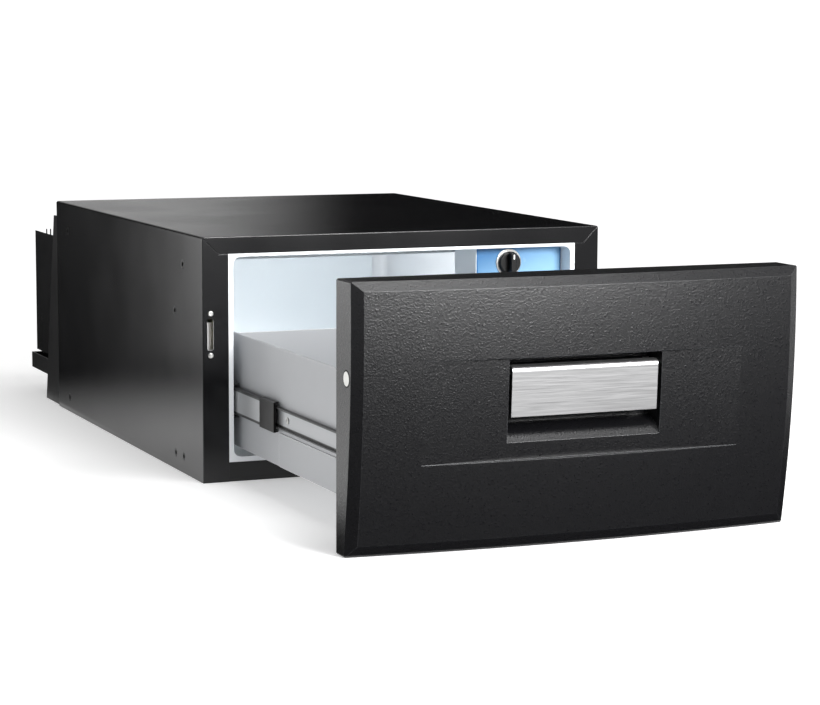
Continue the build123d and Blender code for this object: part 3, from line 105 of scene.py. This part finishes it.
def new_finish(name, hex_colour, roughness, metallic=0.0, ior=1.5):
    """A material with its main shader set; returns the material, its tree and the shader."""
    material = bpy.data.materials.new(name)
    material.use_nodes = True
    tree = material.node_tree
    shader = tree.nodes["Principled BSDF"]
    shader.inputs["Base Color"].default_value = linear(hex_colour)
    shader.inputs["Roughness"].default_value = roughness
    shader.inputs["Metallic"].default_value = metallic
    shader.inputs["IOR"].default_value = ior
    material.diffuse_color = linear(hex_colour)
    return material, tree, shader


def per_metre(millimetres):
    """The texture scale at which one cell of a pattern measures that many millimetres."""
    return 1 / (millimetres * MM)


# %% [markdown]
# Real surfaces are never the same all over.  Most of the finishes share three
# habits: the gloss drifts a little from place to place, a fine texture breaks
# up the reflection, and edges get a lighter line, partly wear where they are
# touched or bent and partly a painted highlight.

# %% Place and gloss
def place_of(tree, stretch=(1, 1, 1)):
    """The point on the piece in metres, stretched along its axes for grained patterns."""
    point = add_node(tree, "ShaderNodeTexCoord")
    mapped = add_node(
        tree, "ShaderNodeMapping", {"Scale": stretch}, {"Vector": point.outputs["Object"]}
    )
    return mapped.outputs["Vector"]


def drift_gloss(tree, shader, low, high, span_mm):
    """Lets the roughness wander between low and high over span_mm."""
    cloud = add_node(
        tree, "ShaderNodeTexNoise", {"Scale": per_metre(span_mm), "Detail": 4.0},
        {"Vector": place_of(tree)},
    )
    spread = add_node(
        tree, "ShaderNodeMapRange",
        {"interpolation_type": "SMOOTHSTEP", "From Min": 0.2, "From Max": 0.8, "To Min": low, "To Max": high},
        {"Value": cloud.outputs["Fac"]},
    )
    tree.links.new(spread.outputs["Result"], shader.inputs["Roughness"])


def from_middle(tree, coordinate, first, last):
    """How far a coordinate lies from the middle between first and last."""
    off = add_node(
        tree, "ShaderNodeMath", {"operation": "SUBTRACT", 1: (first + last) / 2}, {0: coordinate}
    )
    return add_node(tree, "ShaderNodeMath", {"operation": "ABSOLUTE"}, {0: off.outputs["Value"]})


print("helpers for place and gloss are ready")

# %% [markdown]
# A bump map only bends the reflection, so it suits textures that are too fine to
# model.  The bevel node rounds the shading at sharp edges without changing the
# mesh.  Where that rounded normal leaves the true one there is an edge, which is
# where the lighter colour goes: partly wear, partly a painted highlight.

# %% Grain and edges
def round_normal(tree, radius_mm):
    """A normal that turns smoothly round every edge, as a painted or moulded edge does."""
    return add_node(tree, "ShaderNodeBevel", {"samples": 4, "Radius": radius_mm * MM}).outputs["Normal"]


def raise_grain(tree, shader, height, depth_mm, edge_mm=0.5):
    """Raises a pattern from the surface and rounds the edges under it."""
    bump = add_node(
        tree, "ShaderNodeBump", {"Strength": 1.0, "Distance": depth_mm * MM},
        {"Height": height, "Normal": round_normal(tree, edge_mm)},
    )
    tree.links.new(bump.outputs["Normal"], shader.inputs["Normal"])


# The dot product of the true and the rounded normal: 1 on a flat face, less at an edge.
flat_turn = 0.995
full_turn = 0.75


def edge_wear_and_highlight(tree, shader, hex_edge, amount, edge_mm=0.6):
    """Mixes a lighter colour into the base colour where the surface turns at an edge, as wear and a painted
    highlight.
    """
    surface = add_node(tree, "ShaderNodeNewGeometry")
    turn = add_node(
        tree, "ShaderNodeVectorMath", {"operation": "DOT_PRODUCT"},
        {0: surface.outputs["Normal"], 1: round_normal(tree, edge_mm)},
    )
    share = add_node(
        tree, "ShaderNodeMapRange",
        {"From Min": flat_turn, "From Max": full_turn, "To Min": 0.0, "To Max": amount},
        {"Value": turn.outputs["Value"]},
    )
    base = shader.inputs["Base Color"]
    plain = tuple(base.default_value)
    source = base.links[0].from_socket if base.links else None
    blend = add_node(
        tree, "ShaderNodeMix", {"data_type": "RGBA", COLOUR_A: plain, COLOUR_B: linear(hex_edge)},
        {"Factor": share.outputs["Result"]},
    )
    if source:
        tree.links.new(source, blend.inputs[COLOUR_A])
    tree.links.new(blend.outputs[COLOUR_RESULT], base)


finishes = {}
print("an edge is fully worn where the normals' dot product is", full_turn)

# %% [markdown]
# The outer sheets are steel with a satin black powder coat.  The powder melts
# into a skin with a very fine orange peel, so the reflection is soft but the
# sheet still looks flat.  Bends get a slightly lighter line, a painted highlight.

# %% Powder-coated steel
orange_peel_mm = 1.5
coat_drift_mm = 90
bend_mm = 0.8


def powder_coat(name, hex_colour, low, high, peel_mm):
    """Black powder coat with a fine orange peel and a wandering gloss."""
    material, tree, shader = new_finish(name, hex_colour, (low + high) / 2)
    peel = add_node(
        tree, "ShaderNodeTexNoise", {"Scale": per_metre(orange_peel_mm), "Detail": 2.0},
        {"Vector": place_of(tree)},
    )
    raise_grain(tree, shader, peel.outputs["Fac"], peel_mm, bend_mm)
    drift_gloss(tree, shader, low, high, coat_drift_mm)
    # A lighter grey along the bends: a painted highlight.
    edge_wear_and_highlight(tree, shader, "#3c3d40", 0.35, bend_mm)
    return material


coat_black = "#08080a"
finishes["satin_black_steel"] = powder_coat("powder_coated_steel_satin", coat_black, 0.2, 0.24, 0.006)
finishes["black_steel"] = powder_coat("powder_coated_steel_rear", coat_black, 0.38, 0.5, 0.02)
rear_shader = finishes["black_steel"].node_tree.nodes["Principled BSDF"]
rear_shader.inputs["Specular IOR Level"].default_value = 0.25
print("powder coats", len(finishes))

# %% [markdown]
# The door's cover is black ABS pressed in a tool with an etched grain.  The
# grain is an uneven field of small pits and bumps, each 1 to 2 mm across, whose
# flanks catch the light as fine specks.  Noise with a little detail gives such
# a field without any rows, and its hollows are rougher than its tops.

# %% Grained ABS
grain_mm = 1.7
cover_edge_mm = 0.6


def grained_abs(name, hex_colour, roughness, grain_mm, depth_mm):
    """Black ABS with a moulded grain."""
    material, tree, shader = new_finish(name, hex_colour, roughness, ior=1.52)
    grain = add_node(
        tree, "ShaderNodeTexNoise", {"Scale": per_metre(grain_mm), "Detail": 2.5, "Roughness": 0.65},
        {"Vector": place_of(tree)},
    )
    raise_grain(tree, shader, grain.outputs["Fac"], depth_mm, cover_edge_mm)
    hollows = add_node(
        tree, "ShaderNodeMapRange",
        {"From Min": 0.3, "From Max": 0.7, "To Min": roughness + 0.08, "To Max": roughness - 0.04},
        {"Value": grain.outputs["Fac"]},
    )
    tree.links.new(hollows.outputs["Result"], shader.inputs["Roughness"])
    # A paler grey along the cover's edges: a painted highlight.
    edge_wear_and_highlight(tree, shader, "#77797d", 0.5, cover_edge_mm)
    return material


finishes["grained_charcoal"] = grained_abs("moulded_abs_grained", "#0d0d0f", 0.3, grain_mm, 0.3)
print("grain of", grain_mm, "mm")

# %% [markdown]
# The handle plate is stainless steel brushed along its length.  The scratches
# run left to right and are far finer than they are long, so the pattern is a
# noise that is stretched along X; the highlights then spread up and down.

# %% Brushed stainless steel
metal_edge_mm = 0.4


def brushed_steel(name, hex_colour, roughness, stretch, line_mm, depth_mm):
    """Bare steel with scratches that run along the axis with the small stretch."""
    material, tree, shader = new_finish(name, hex_colour, roughness, metallic=1.0)
    lines = add_node(
        tree, "ShaderNodeTexNoise", {"Scale": per_metre(line_mm), "Detail": 3.0, "Roughness": 0.7},
        {"Vector": place_of(tree, stretch)},
    )
    raise_grain(tree, shader, lines.outputs["Fac"], depth_mm, metal_edge_mm)
    shine = add_node(
        tree, "ShaderNodeMapRange", {"To Min": roughness - 0.08, "To Max": roughness + 0.12},
        {"Value": lines.outputs["Fac"]},
    )
    tree.links.new(shine.outputs["Result"], shader.inputs["Roughness"])
    # Near white along the edges: a painted highlight.
    edge_wear_and_highlight(tree, shader, "#f2f2f0", 0.5, metal_edge_mm)
    return material


along_x = (0.02, 1, 1)
finishes["brushed_stainless"] = brushed_steel(
    "stainless_steel_brushed", "#dededf", 0.34, along_x, 1.1, 0.012
)
print("stainless steel with scratches", round(1 / along_x[0]), "times longer than wide")

# %% [markdown]
# The other bare metals are made in the same way.  The rails are rolled along
# their length, so their lines run along Y.  The screws, the strike plates and
# the copper pipes show no direction, so their pattern isn't stretched.  The
# strike plates are zinc coloured near white, a painted highlight: a lower
# metallic value keeps them pale even where they mirror the dark.

# %% Other bare metals
along_y = (1, 0.02, 1)
even = (1, 1, 1)
for slot, name, hex_colour, roughness, stretch, line_mm, depth_mm in (
    ("galvanised_steel", "zinc_plated_steel_rolled", "#b9bbbd", 0.42, along_y, 0.8, 0.006),
    ("bright_steel", "nickel_plated_steel", "#d8d8d6", 0.28, even, 1.5, 0.004),
    ("copper_pipe", "copper_drawn", "#b86f4a", 0.35, even, 1.2, 0.01),
    ("strike_zinc", "zinc_die_cast_bright", "#f0f0f0", 0.3, even, 1.5, 0.004),
):
    finishes[slot] = brushed_steel(name, hex_colour, roughness, stretch, line_mm, depth_mm)
# Near-white colour and a low metallic value on the strike plates: a painted highlight.
zinc_shader = finishes["strike_zinc"].node_tree.nodes["Principled BSDF"]
zinc_shader.inputs["Metallic"].default_value = 0.3
print("bare metals", [name for name in finishes if "steel" in name or name.endswith("pipe")])

# %% [markdown]
# The slides' balls run in two grooves along each rail.  The shade in these
# grooves is painted as a dark matt band along the rail's upper and lower edge,
# found from the height of a point within the rail's box.

# %% Rails with painted groove shade
groove_shade_band_mm = 3.2
band_fade_mm = 0.5
groove_shade_cover = 0.85


def rail_with_groove_shade(node, band_mm):
    """Zinc-plated steel for one rail, with painted shade of the ball grooves along its two long edges."""
    material = finishes["galvanised_steel"].copy()
    material.name = "zinc_plated_groove_shade_" + node
    tree = material.node_tree
    shader = tree.nodes["Principled BSDF"]
    shader.inputs["Metallic"].default_value = 0.6
    low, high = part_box(node)
    parts = add_node(tree, "ShaderNodeSeparateXYZ", {}, {"Vector": place_of(tree)})
    away = from_middle(tree, parts.outputs["Z"], low[2], high[2])
    edge = (high[2] - low[2]) / 2
    share = add_node(
        tree, "ShaderNodeMapRange",
        {
            "From Min": edge - band_mm * MM, "From Max": edge - (band_mm - band_fade_mm) * MM,
            "To Max": groove_shade_cover,
        },
        {"Value": away.outputs["Value"]},
    )
    # Dark grey mixed in near the upper and lower edges: painted shade of the ball grooves.
    base = shader.inputs["Base Color"]
    blend = add_node(
        tree, "ShaderNodeMix", {"data_type": "RGBA", COLOUR_B: linear("#1d1d1c")},
        {"Factor": share.outputs["Result"], COLOUR_A: base.links[0].from_socket},
    )
    tree.links.new(blend.outputs[COLOUR_RESULT], base)
    return material


print("groove shade bands", groove_shade_band_mm, "mm wide")

# %% [markdown]
# Moulded and rolled plastics differ mostly in colour and gloss.  The liner is
# vacuum-formed polystyrene with a smooth shine, the drawer's sheets carry a
# light grey polyester paint, the control unit is pale blue-grey ABS, and the
# clips and the fan are black nylon with a matt skin.

# %% Moulded plastics and paint
moulding_drift_mm = 60


def moulded(name, hex_colour, low, high, grain_mm, depth_mm, hex_edge, edge_share=0.4, edge_mm=0.5):
    """A plain moulding: a faint texture, a wandering gloss and paler edges, partly wear and partly a painted
    highlight.
    """
    material, tree, shader = new_finish(name, hex_colour, (low + high) / 2)
    texture = add_node(
        tree, "ShaderNodeTexNoise", {"Scale": per_metre(grain_mm), "Detail": 3.0},
        {"Vector": place_of(tree)},
    )
    raise_grain(tree, shader, texture.outputs["Fac"], depth_mm, 0.5)
    drift_gloss(tree, shader, low, high, moulding_drift_mm)
    # Paler edges: partly wear, partly a painted highlight.
    edge_wear_and_highlight(tree, shader, hex_edge, edge_share, edge_mm)
    return material


for slot, name, hex_colour, low, high, texture_mm, depth_mm, hex_edge in (
    ("white_liner", "polystyrene_white_formed", "#eceff2", 0.28, 0.36, 4.0, 0.02, "#ffffff"),
    ("white_plastic", "abs_white_moulded", "#e6e6e2", 0.3, 0.4, 1.0, 0.01, "#ffffff"),
    ("roll_bond_aluminium", "aluminium_white_lacquer", "#dfe6ea", 0.3, 0.4, 1.5, 0.01, "#f4f5f6"),
    ("grey_plastic", "abs_blue_grey_moulded", "#e3ecf3", 0.38, 0.46, 0.8, 0.02, "#f4f7fa"),
    ("black_plastic", "nylon_black_moulded", "#060607", 0.3, 0.42, 0.7, 0.02, "#3a3a3c"),
    ("insulation_foam", "polyurethane_foam", "#d8d2bf", 0.8, 0.9, 1.5, 0.3, "#e6dab4"),
    ("black_gasket", "vinyl_magnetic_seal", "#0a0a0a", 0.42, 0.52, 0.8, 0.02, "#2a2a2a"),
    ("grommet_rubber", "rubber_moulded", "#0a0a0a", 0.6, 0.7, 0.8, 0.04, "#2a2a2a"),
    ("clear_lens", "polycarbonate_frosted", "#dfe6ea", 0.35, 0.45, 0.6, 0.03, "#ffffff"),
    ("pointer_paint", "pad_printed_white", "#f3f3f0", 0.35, 0.45, 0.5, 0.005, "#ffffff"),
):
    finishes[slot] = moulded(name, hex_colour, low, high, texture_mm, depth_mm, hex_edge)
# The drawer sheets' edges go fully white: a painted highlight where their top edges catch the light.
finishes["grey_drawer_sheet"] = moulded(
    "steel_painted_light_grey", "#aeb0b3", 0.3, 0.4, 1.2, 0.01, "#ffffff", edge_share=1.0, edge_mm=1.2
)
lens_shader = finishes["clear_lens"].node_tree.nodes["Principled BSDF"]
lens_shader.inputs["Transmission Weight"].default_value = 0.6
nylon_shader = finishes["black_plastic"].node_tree.nodes["Principled BSDF"]
nylon_shader.inputs["Specular IOR Level"].default_value = 0.3
print("plastics", sum(name.startswith(("white", "grey", "black")) for name in finishes))

# %% [markdown]
# The control unit's face is a printed polycarbonate film.  Its ink runs from a
# deep steel blue at the upper left to a light sky blue at the lower right, with
# a thin darker frame.  The gradient is worked out from where a point lies on
# the label, so it stays put when the view changes.

# %% Ink of the film
ink_from = 0.35
ink_to = 1.6


def diagonal_ink(tree, parts, low, high, hex_deep, hex_light):
    """Ink that runs from deep at the upper left of a box to light at its lower right."""
    across = add_node(
        tree, "ShaderNodeMapRange", {"From Min": low[0], "From Max": high[0]},
        {"Value": parts.outputs["X"]},
    )
    down = add_node(
        tree, "ShaderNodeMapRange", {"From Min": high[2], "From Max": low[2]},
        {"Value": parts.outputs["Z"]},
    )
    diagonal = add_node(
        tree, "ShaderNodeMath", {"operation": "ADD"},
        {0: across.outputs["Result"], 1: down.outputs["Result"]},
    )
    share = add_node(
        tree, "ShaderNodeMapRange", {"From Min": ink_from, "From Max": ink_to},
        {"Value": diagonal.outputs["Value"]},
    )
    return add_node(
        tree, "ShaderNodeMix",
        {"data_type": "RGBA", COLOUR_A: linear(hex_deep), COLOUR_B: linear(hex_light)},
        {"Factor": share.outputs["Result"]},
    )


print("ink runs over", ink_to - ink_from, "of the label's two sides")

# %% [markdown]
# The printed frame is a mask.  A point belongs to it when it lies farther from
# the label's middle than the frame's inner edge, along either side.

# %% Printed blue film
fleck_mm = 0.6


def printed_film(name, node, hex_deep, hex_light, hex_frame, frame_mm):
    """A glossy film with a diagonal ink gradient and a printed frame, fitted to the node's box."""
    material, tree, shader = new_finish(name, hex_deep, 0.22, ior=1.58)
    low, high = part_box(node)
    parts = add_node(tree, "ShaderNodeSeparateXYZ", {}, {"Vector": place_of(tree)})
    ink = diagonal_ink(tree, parts, low, high, hex_deep, hex_light)
    edges = []
    for socket, first, last in (("X", low[0], high[0]), ("Z", low[2], high[2])):
        inner_half = (last - first) / 2 - frame_mm * MM
        away = from_middle(tree, parts.outputs[socket], first, last)
        edges.append(add_node(
            tree, "ShaderNodeMath", {"operation": "GREATER_THAN", 1: inner_half},
            {0: away.outputs["Value"]},
        ))
    rim = add_node(
        tree, "ShaderNodeMath", {"operation": "MAXIMUM"},
        {0: edges[0].outputs["Value"], 1: edges[1].outputs["Value"]},
    )
    framed = add_node(
        tree, "ShaderNodeMix", {"data_type": "RGBA", COLOUR_B: linear(hex_frame)},
        {"Factor": rim.outputs["Value"], COLOUR_A: ink.outputs[COLOUR_RESULT]},
    )
    tree.links.new(framed.outputs[COLOUR_RESULT], shader.inputs["Base Color"])
    fleck = add_node(
        tree, "ShaderNodeTexNoise", {"Scale": per_metre(fleck_mm)}, {"Vector": place_of(tree)}
    )
    raise_grain(tree, shader, fleck.outputs["Fac"], 0.004, 0.3)
    drift_gloss(tree, shader, 0.18, 0.28, 30)
    return material


finishes["blue_label"] = printed_film(
    "printed_film_blue", "control_label", "#4a7bab", "#8dbbdc", "#2d6aa3", 1.2
)

# %% [markdown]
# Each CAD piece names the slot of its finish, so dressing the model is one loop.

# %% Dress the CAD pieces
for name, piece in nodes.items():
    finish = finishes[slot_of[name]]
    if not piece.material_slots:
        piece.data.materials.append(finish)
    for index in range(len(piece.material_slots)):
        piece.material_slots[index].material = finish
for member in ("cabinet_rail_", "middle_rail_", "drawer_rail_"):
    for side_name in ("left", "right"):
        rail = member + side_name
        nodes[rail].material_slots[0].material = rail_with_groove_shade(rail, groove_shade_band_mm)
nodes["strike_plates"].material_slots[0].material = finishes["strike_zinc"]
print("dressed", len(nodes), "pieces with", len(finishes), "finishes")

# %% [markdown]
# A few small pieces aren't in the CAD because nothing moves or bolts on them:
# the white pointer printed on the knob, and the dark rubber ring round the
# white cap in the door's side.  They are built as meshes from the boxes of the
# pieces they sit on.

# %% Mesh helper
def mesh_piece(name, vertices, faces, finish, body):
    """A new mesh object that rides on a body and takes its finish from a slot."""
    mesh = bpy.data.meshes.new(name)
    mesh.from_pydata(vertices, [], faces)
    mesh.validate()
    tidy = bmesh.new()
    tidy.from_mesh(mesh)
    bmesh.ops.recalc_face_normals(tidy, faces=tidy.faces)
    tidy.to_mesh(mesh)
    tidy.free()
    piece = bpy.data.objects.new(name, mesh)
    bpy.context.scene.collection.objects.link(piece)
    mesh.materials.append(finish)
    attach(piece, body)
    return piece


# %% [markdown]
# Round pieces are lathed: a small closed profile is turned about an axis, step
# by step, and each step is joined to the next with four-sided faces.

# %% Lathe
lathe_turns = 64


def lathe(profile, centre, along, turns=lathe_turns):
    """Vertices and faces of a closed ring: (radius, offset) points turned about the axis along."""
    axis = Vector(along).normalized()
    side = axis.orthogonal().normalized()
    other = axis.cross(side)
    vertices = []
    for step in range(turns):
        angle = tau * step / turns
        outward = side * cos(angle) + other * sin(angle)
        for radius, offset in profile:
            vertices.append(Vector(centre) + outward * radius + axis * offset)
    count = len(profile)
    faces = []
    for step in range(turns):
        after = (step + 1) % turns
        for point in range(count):
            following = (point + 1) % count
            faces.append((
                step * count + point, step * count + following,
                after * count + following, after * count + point,
            ))
    return vertices, faces


print("the lathe takes", lathe_turns, "steps for a full ring")

# %% [markdown]
# The pointer is a shallow raised bar with a rounded outline, printed white.  It
# lies on the knob's grip, so it turns with the knob.

# %% Knob pointer
knob_low, knob_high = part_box("thermostat_knob")
knob_x = (knob_low[0] + knob_high[0]) / 2
pointer_half = 0.8 * MM
pointer_from_rim = 2.6 * MM
pointer_long = 5.0 * MM
pointer_sunk = 0.02 * MM
pointer_proud = 0.15 * MM
end_steps = 12
pointer_far = knob_high[2] - pointer_from_rim
pointer_near = pointer_far - pointer_long
pointer_back = knob_low[1] + pointer_sunk
pointer_front = knob_low[1] - pointer_proud
outline = []
for centre_z, start in ((pointer_far - pointer_half, 0), (pointer_near + pointer_half, pi)):
    for step in range(end_steps + 1):
        angle = start + pi * step / end_steps
        outline.append((knob_x + pointer_half * cos(angle), centre_z + pointer_half * sin(angle)))
count = len(outline)
vertices = [(x, pointer_front, z) for x, z in outline] + [(x, pointer_back, z) for x, z in outline]
faces = [tuple(range(count)), tuple(range(count, 2 * count))]
faces += [(k, (k + 1) % count, count + (k + 1) % count, count + k) for k in range(count)]
mesh_piece("knob_pointer", vertices, faces, finishes["pointer_paint"], "knob")
print("pointer from", round(pointer_near, 4), "to", round(pointer_far, 4))

# %% [markdown]
# The white cap that closes the shaft's hole sits in a thin dark ring.  A lathe
# makes such a ring: a small closed profile is turned about the shaft's axis.

# %% Ring round the shaft cap
cap_low, cap_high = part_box("shaft_caps")
cap_radius = (cap_high[2] - cap_low[2]) / 2
cap_centre = ((cap_low[1] + cap_high[1]) / 2, (cap_low[2] + cap_high[2]) / 2)
ring_wide = 1.3 * MM
ring_proud = 0.25 * MM
ring_sunk = 0.3 * MM
ring_gap = 0.02 * MM
bevel_high = 0.4 * ring_proud
bevel_out = 0.7 * ring_wide
ring_profile = [
    (cap_radius + ring_gap, -ring_sunk), (cap_radius + ring_wide, -ring_sunk),
    (cap_radius + ring_wide, bevel_high), (cap_radius + bevel_out, ring_proud),
    (cap_radius + ring_gap, ring_proud),
]
for side_name, side in (("left", -1), ("right", 1)):
    door_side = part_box("door_cover")[0 if side < 0 else 1][0]
    ring_vertices, ring_faces = lathe(ring_profile, (door_side, *cap_centre), (side, 0, 0))
    mesh_piece(
        "cap_ring_" + side_name, ring_vertices, ring_faces,
        finishes["grommet_rubber"], "drawer",
    )
print("cap rings of radius", round(cap_radius + ring_wide, 4))

# %% [markdown]
# The fridge stands on a white sweep, a floor that curves up far behind it.  The
# paper glows more with distance, as if it were lit from behind, so the far part
# stays white while the near part can still take a soft shadow.

# %% Studio paper
near_glow = 0.36
far_glow = 0.62
glow_from = 0.6
glow_to = 2.2


def studio_paper():
    """Matt white paper with a painted glow that grows with distance, so it stays white into the distance."""
    material, tree, shader = new_finish("studio_paper", "#f1f1f1", 0.9)
    shader.inputs["Specular IOR Level"].default_value = 0.1
    shader.inputs["Emission Color"].default_value = linear("#ffffff")
    distance = add_node(
        tree, "ShaderNodeVectorMath", {"operation": "LENGTH"}, {0: place_of(tree)}
    )
    glow = add_node(
        tree, "ShaderNodeMapRange",
        {"From Min": glow_from, "From Max": glow_to, "To Min": near_glow, "To Max": far_glow},
        {"Value": distance.outputs["Value"]},
    )
    tree.links.new(glow.outputs["Result"], shader.inputs["Emission Strength"])
    return material


print("paper glows from", near_glow, "to", far_glow)

# %% [markdown]
# The sweep is one strip of faces: flat from the front to the turn, then a
# quarter circle, then a short upright end.

# %% White sweep
floor_z = cad_box[0][2]
sweep_front = -4.0
sweep_turn = 7.5
sweep_radius = 0.45
sweep_half = 7.0
sweep_end = 0.25
turn_steps = 12
profile = [(sweep_front, 0.0), (sweep_turn, 0.0)]
for step in range(1, turn_steps + 1):
    angle = pi / 2 * step / turn_steps
    profile.append((sweep_turn + sweep_radius * sin(angle), sweep_radius * (1 - cos(angle))))
profile.append((sweep_turn + sweep_radius, sweep_radius + sweep_end))
rows = len(profile)
vertices = [(x, y, floor_z + z) for x in (-sweep_half, sweep_half) for y, z in profile]
faces = [(k, k + 1, rows + k + 1, rows + k) for k in range(rows - 1)]
sweep_mesh = bpy.data.meshes.new("studio_sweep")
sweep_mesh.from_pydata(vertices, [], faces)
sweep_mesh.materials.append(studio_paper())
for face in sweep_mesh.polygons:
    face.use_smooth = True
sweep = bpy.data.objects.new("studio_sweep", sweep_mesh)
bpy.context.scene.collection.objects.link(sweep)
print("sweep turns up at", sweep_turn, "m")


# %% [markdown]
# A soft box is an area light aimed at a point on the object.  Its size sets how
# soft the shadows are, and its place sets which faces show its reflection.  One
# hangs over the front, one stands in front at the right, one stands behind at
# the left, and a small lamp lights the cabinet's inside.  The camera sees none
# of them.

# %% Soft boxes
def soft_box(name, place, target, width, height, radiance):
    """A rectangular area light at place that looks at target, as bright as its radiance says."""
    lamp = bpy.data.lights.new(name, "AREA")
    lamp.shape = "RECTANGLE"
    lamp.size = width
    lamp.size_y = height
    lamp.energy = radiance * pi * width * height
    holder = bpy.data.objects.new(name, lamp)
    holder.location = place
    holder.rotation_euler = (Vector(target) - Vector(place)).to_track_quat("-Z", "Y").to_euler()
    holder.visible_camera = False
    bpy.context.scene.collection.objects.link(holder)
    return holder


soft_box("overhead_box", (0.3, -1.4, 2.3), (0.1, -0.7, 0), width=1.3, height=1.0, radiance=9.0)
soft_box("front_box", (0.72, -2.9, 0.98), (0, -0.7, 0.2), width=1.1, height=0.7, radiance=46.0)
soft_box("left_box", (-1.2, 1.25, 0.35), (-0.22, -0.6, 0.12), width=0.6, height=0.7, radiance=3.2)
liner_low, liner_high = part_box("inner_liner")
lamp_place = (0.0, liner_low[1] + 0.2, liner_high[2] - 0.02)
lamp_target = (0.0, liner_high[1], liner_low[2] + 0.1)
soft_box("inside_lamp", lamp_place, lamp_target, width=0.24, height=0.05, radiance=22.0)
print("lamps", [lamp.name for lamp in bpy.data.lights])

# %% [markdown]
# The rest of the light is the air of a white studio, which comes evenly from all
# sides.  The standard view shows colours as they were picked, with no film look.

# %% Studio air
air_strength = 0.42
world = bpy.data.worlds.new("studio_air")
bpy.context.scene.world = world
world.use_nodes = True
air = world.node_tree.nodes["Background"]
air.inputs["Color"].default_value = linear("#ffffff")
air.inputs["Strength"].default_value = air_strength
bpy.context.scene.view_settings.view_transform = "Standard"
print("air strength", air_strength)

# %% [markdown]
# Black paint shows whatever stands around it, so a studio hangs black flags
# where the paint would mirror too much white.  Four flags stand here, and only
# reflections see them: one behind the right of the lid, two beside the rear of
# the cabinet's left side, and one that lies on the floor in front.  Each fades
# in along its length, so that the reflection runs from light to dark.

# %% Black flags
def black_flag(name, corners, axis, fade_from, fade_to):
    """A black card that only reflections see, which fades in along one axis between two places."""
    material, tree, shader = new_finish(name, "#050505", 1.0)
    shader.inputs["Specular IOR Level"].default_value = 0.0
    parts = add_node(tree, "ShaderNodeSeparateXYZ", {}, {"Vector": place_of(tree)})
    cover = add_node(
        tree, "ShaderNodeMapRange",
        {"interpolation_type": "SMOOTHSTEP", "From Min": fade_from, "From Max": fade_to},
        {"Value": parts.outputs[axis]},
    )
    tree.links.new(cover.outputs["Result"], shader.inputs["Alpha"])
    mesh = bpy.data.meshes.new(name)
    mesh.from_pydata(corners, [], [(0, 1, 2, 3)])
    mesh.materials.append(material)
    flag = bpy.data.objects.new(name, mesh)
    bpy.context.scene.collection.objects.link(flag)
    flag.visible_camera = False
    flag.visible_diffuse = False
    flag.visible_shadow = False
    flag.visible_transmission = False
    return flag


print("a flag fades in along one axis")

# %% [markdown]
# Two of the flags stand upright behind the cabinet, and two lie just over the
# floor.  All four are plain rectangles, so their corners come from their edges.

# %% Hang the flags
def upright_card(x_from, x_to, y, z_from, z_to):
    """Corners of a card that stands across the view."""
    return [(x_from, y, z_from), (x_to, y, z_from), (x_to, y, z_to), (x_from, y, z_to)]


def lying_card(x_from, x_to, y_from, y_to, z):
    """Corners of a card that lies over the floor."""
    return [(x_from, y_from, z), (x_to, y_from, z), (x_to, y_to, z), (x_from, y_to, z)]


card_z = floor_z + 0.002
black_flag("lid_flag", upright_card(0.2, 4.2, 2.6, 0.26, 2.8), "X", 0.62, 1.1)
black_flag("side_flag", upright_card(-0.7, -0.22, 0.6, 0.0, 1.2), "X", -0.68, -0.42)
black_flag("side_floor_flag", lying_card(-1.5, -0.225, -0.1, 0.6, card_z), "Y", -0.05, 0.55)
black_flag("front_flag", lying_card(-2.0, 4.0, -0.4, -5.0, card_z), "Y", -0.4, -0.55)

# %% [markdown]
# The camera is a long lens a little above the lid and to the left of the front,
# so the drawer's side, the frame's inside and the whole door show together.

# %% Camera
camera_place = (-0.983085, -2.625951, 0.452576)
camera_turn = radians(-22.635)
camera_rise = radians(7.683)
camera_roll = radians(0.224)
level = cos(camera_rise)
behind = Vector((sin(camera_turn) * level, -cos(camera_turn) * level, sin(camera_rise)))
across = Vector((0, 0, 1)).cross(behind).normalized()
upward = behind.cross(across)
rolled_across = across * cos(camera_roll) + upward * sin(camera_roll)
rolled_upward = upward * cos(camera_roll) - across * sin(camera_roll)
lens = bpy.data.cameras.new("studio_camera")
lens.sensor_width = 36
lens.lens = 109.16
lens.shift_x = 0.0102
lens.shift_y = 0.0155
lens.clip_end = 50
camera = bpy.data.objects.new("studio_camera", lens)
turn = Matrix((rolled_across, rolled_upward, behind)).transposed()
camera.matrix_world = Matrix.Translation(camera_place) @ turn.to_4x4()
bpy.context.scene.collection.objects.link(camera)
bpy.context.scene.camera = camera
print("camera at", tuple(round(value, 3) for value in camera.location))
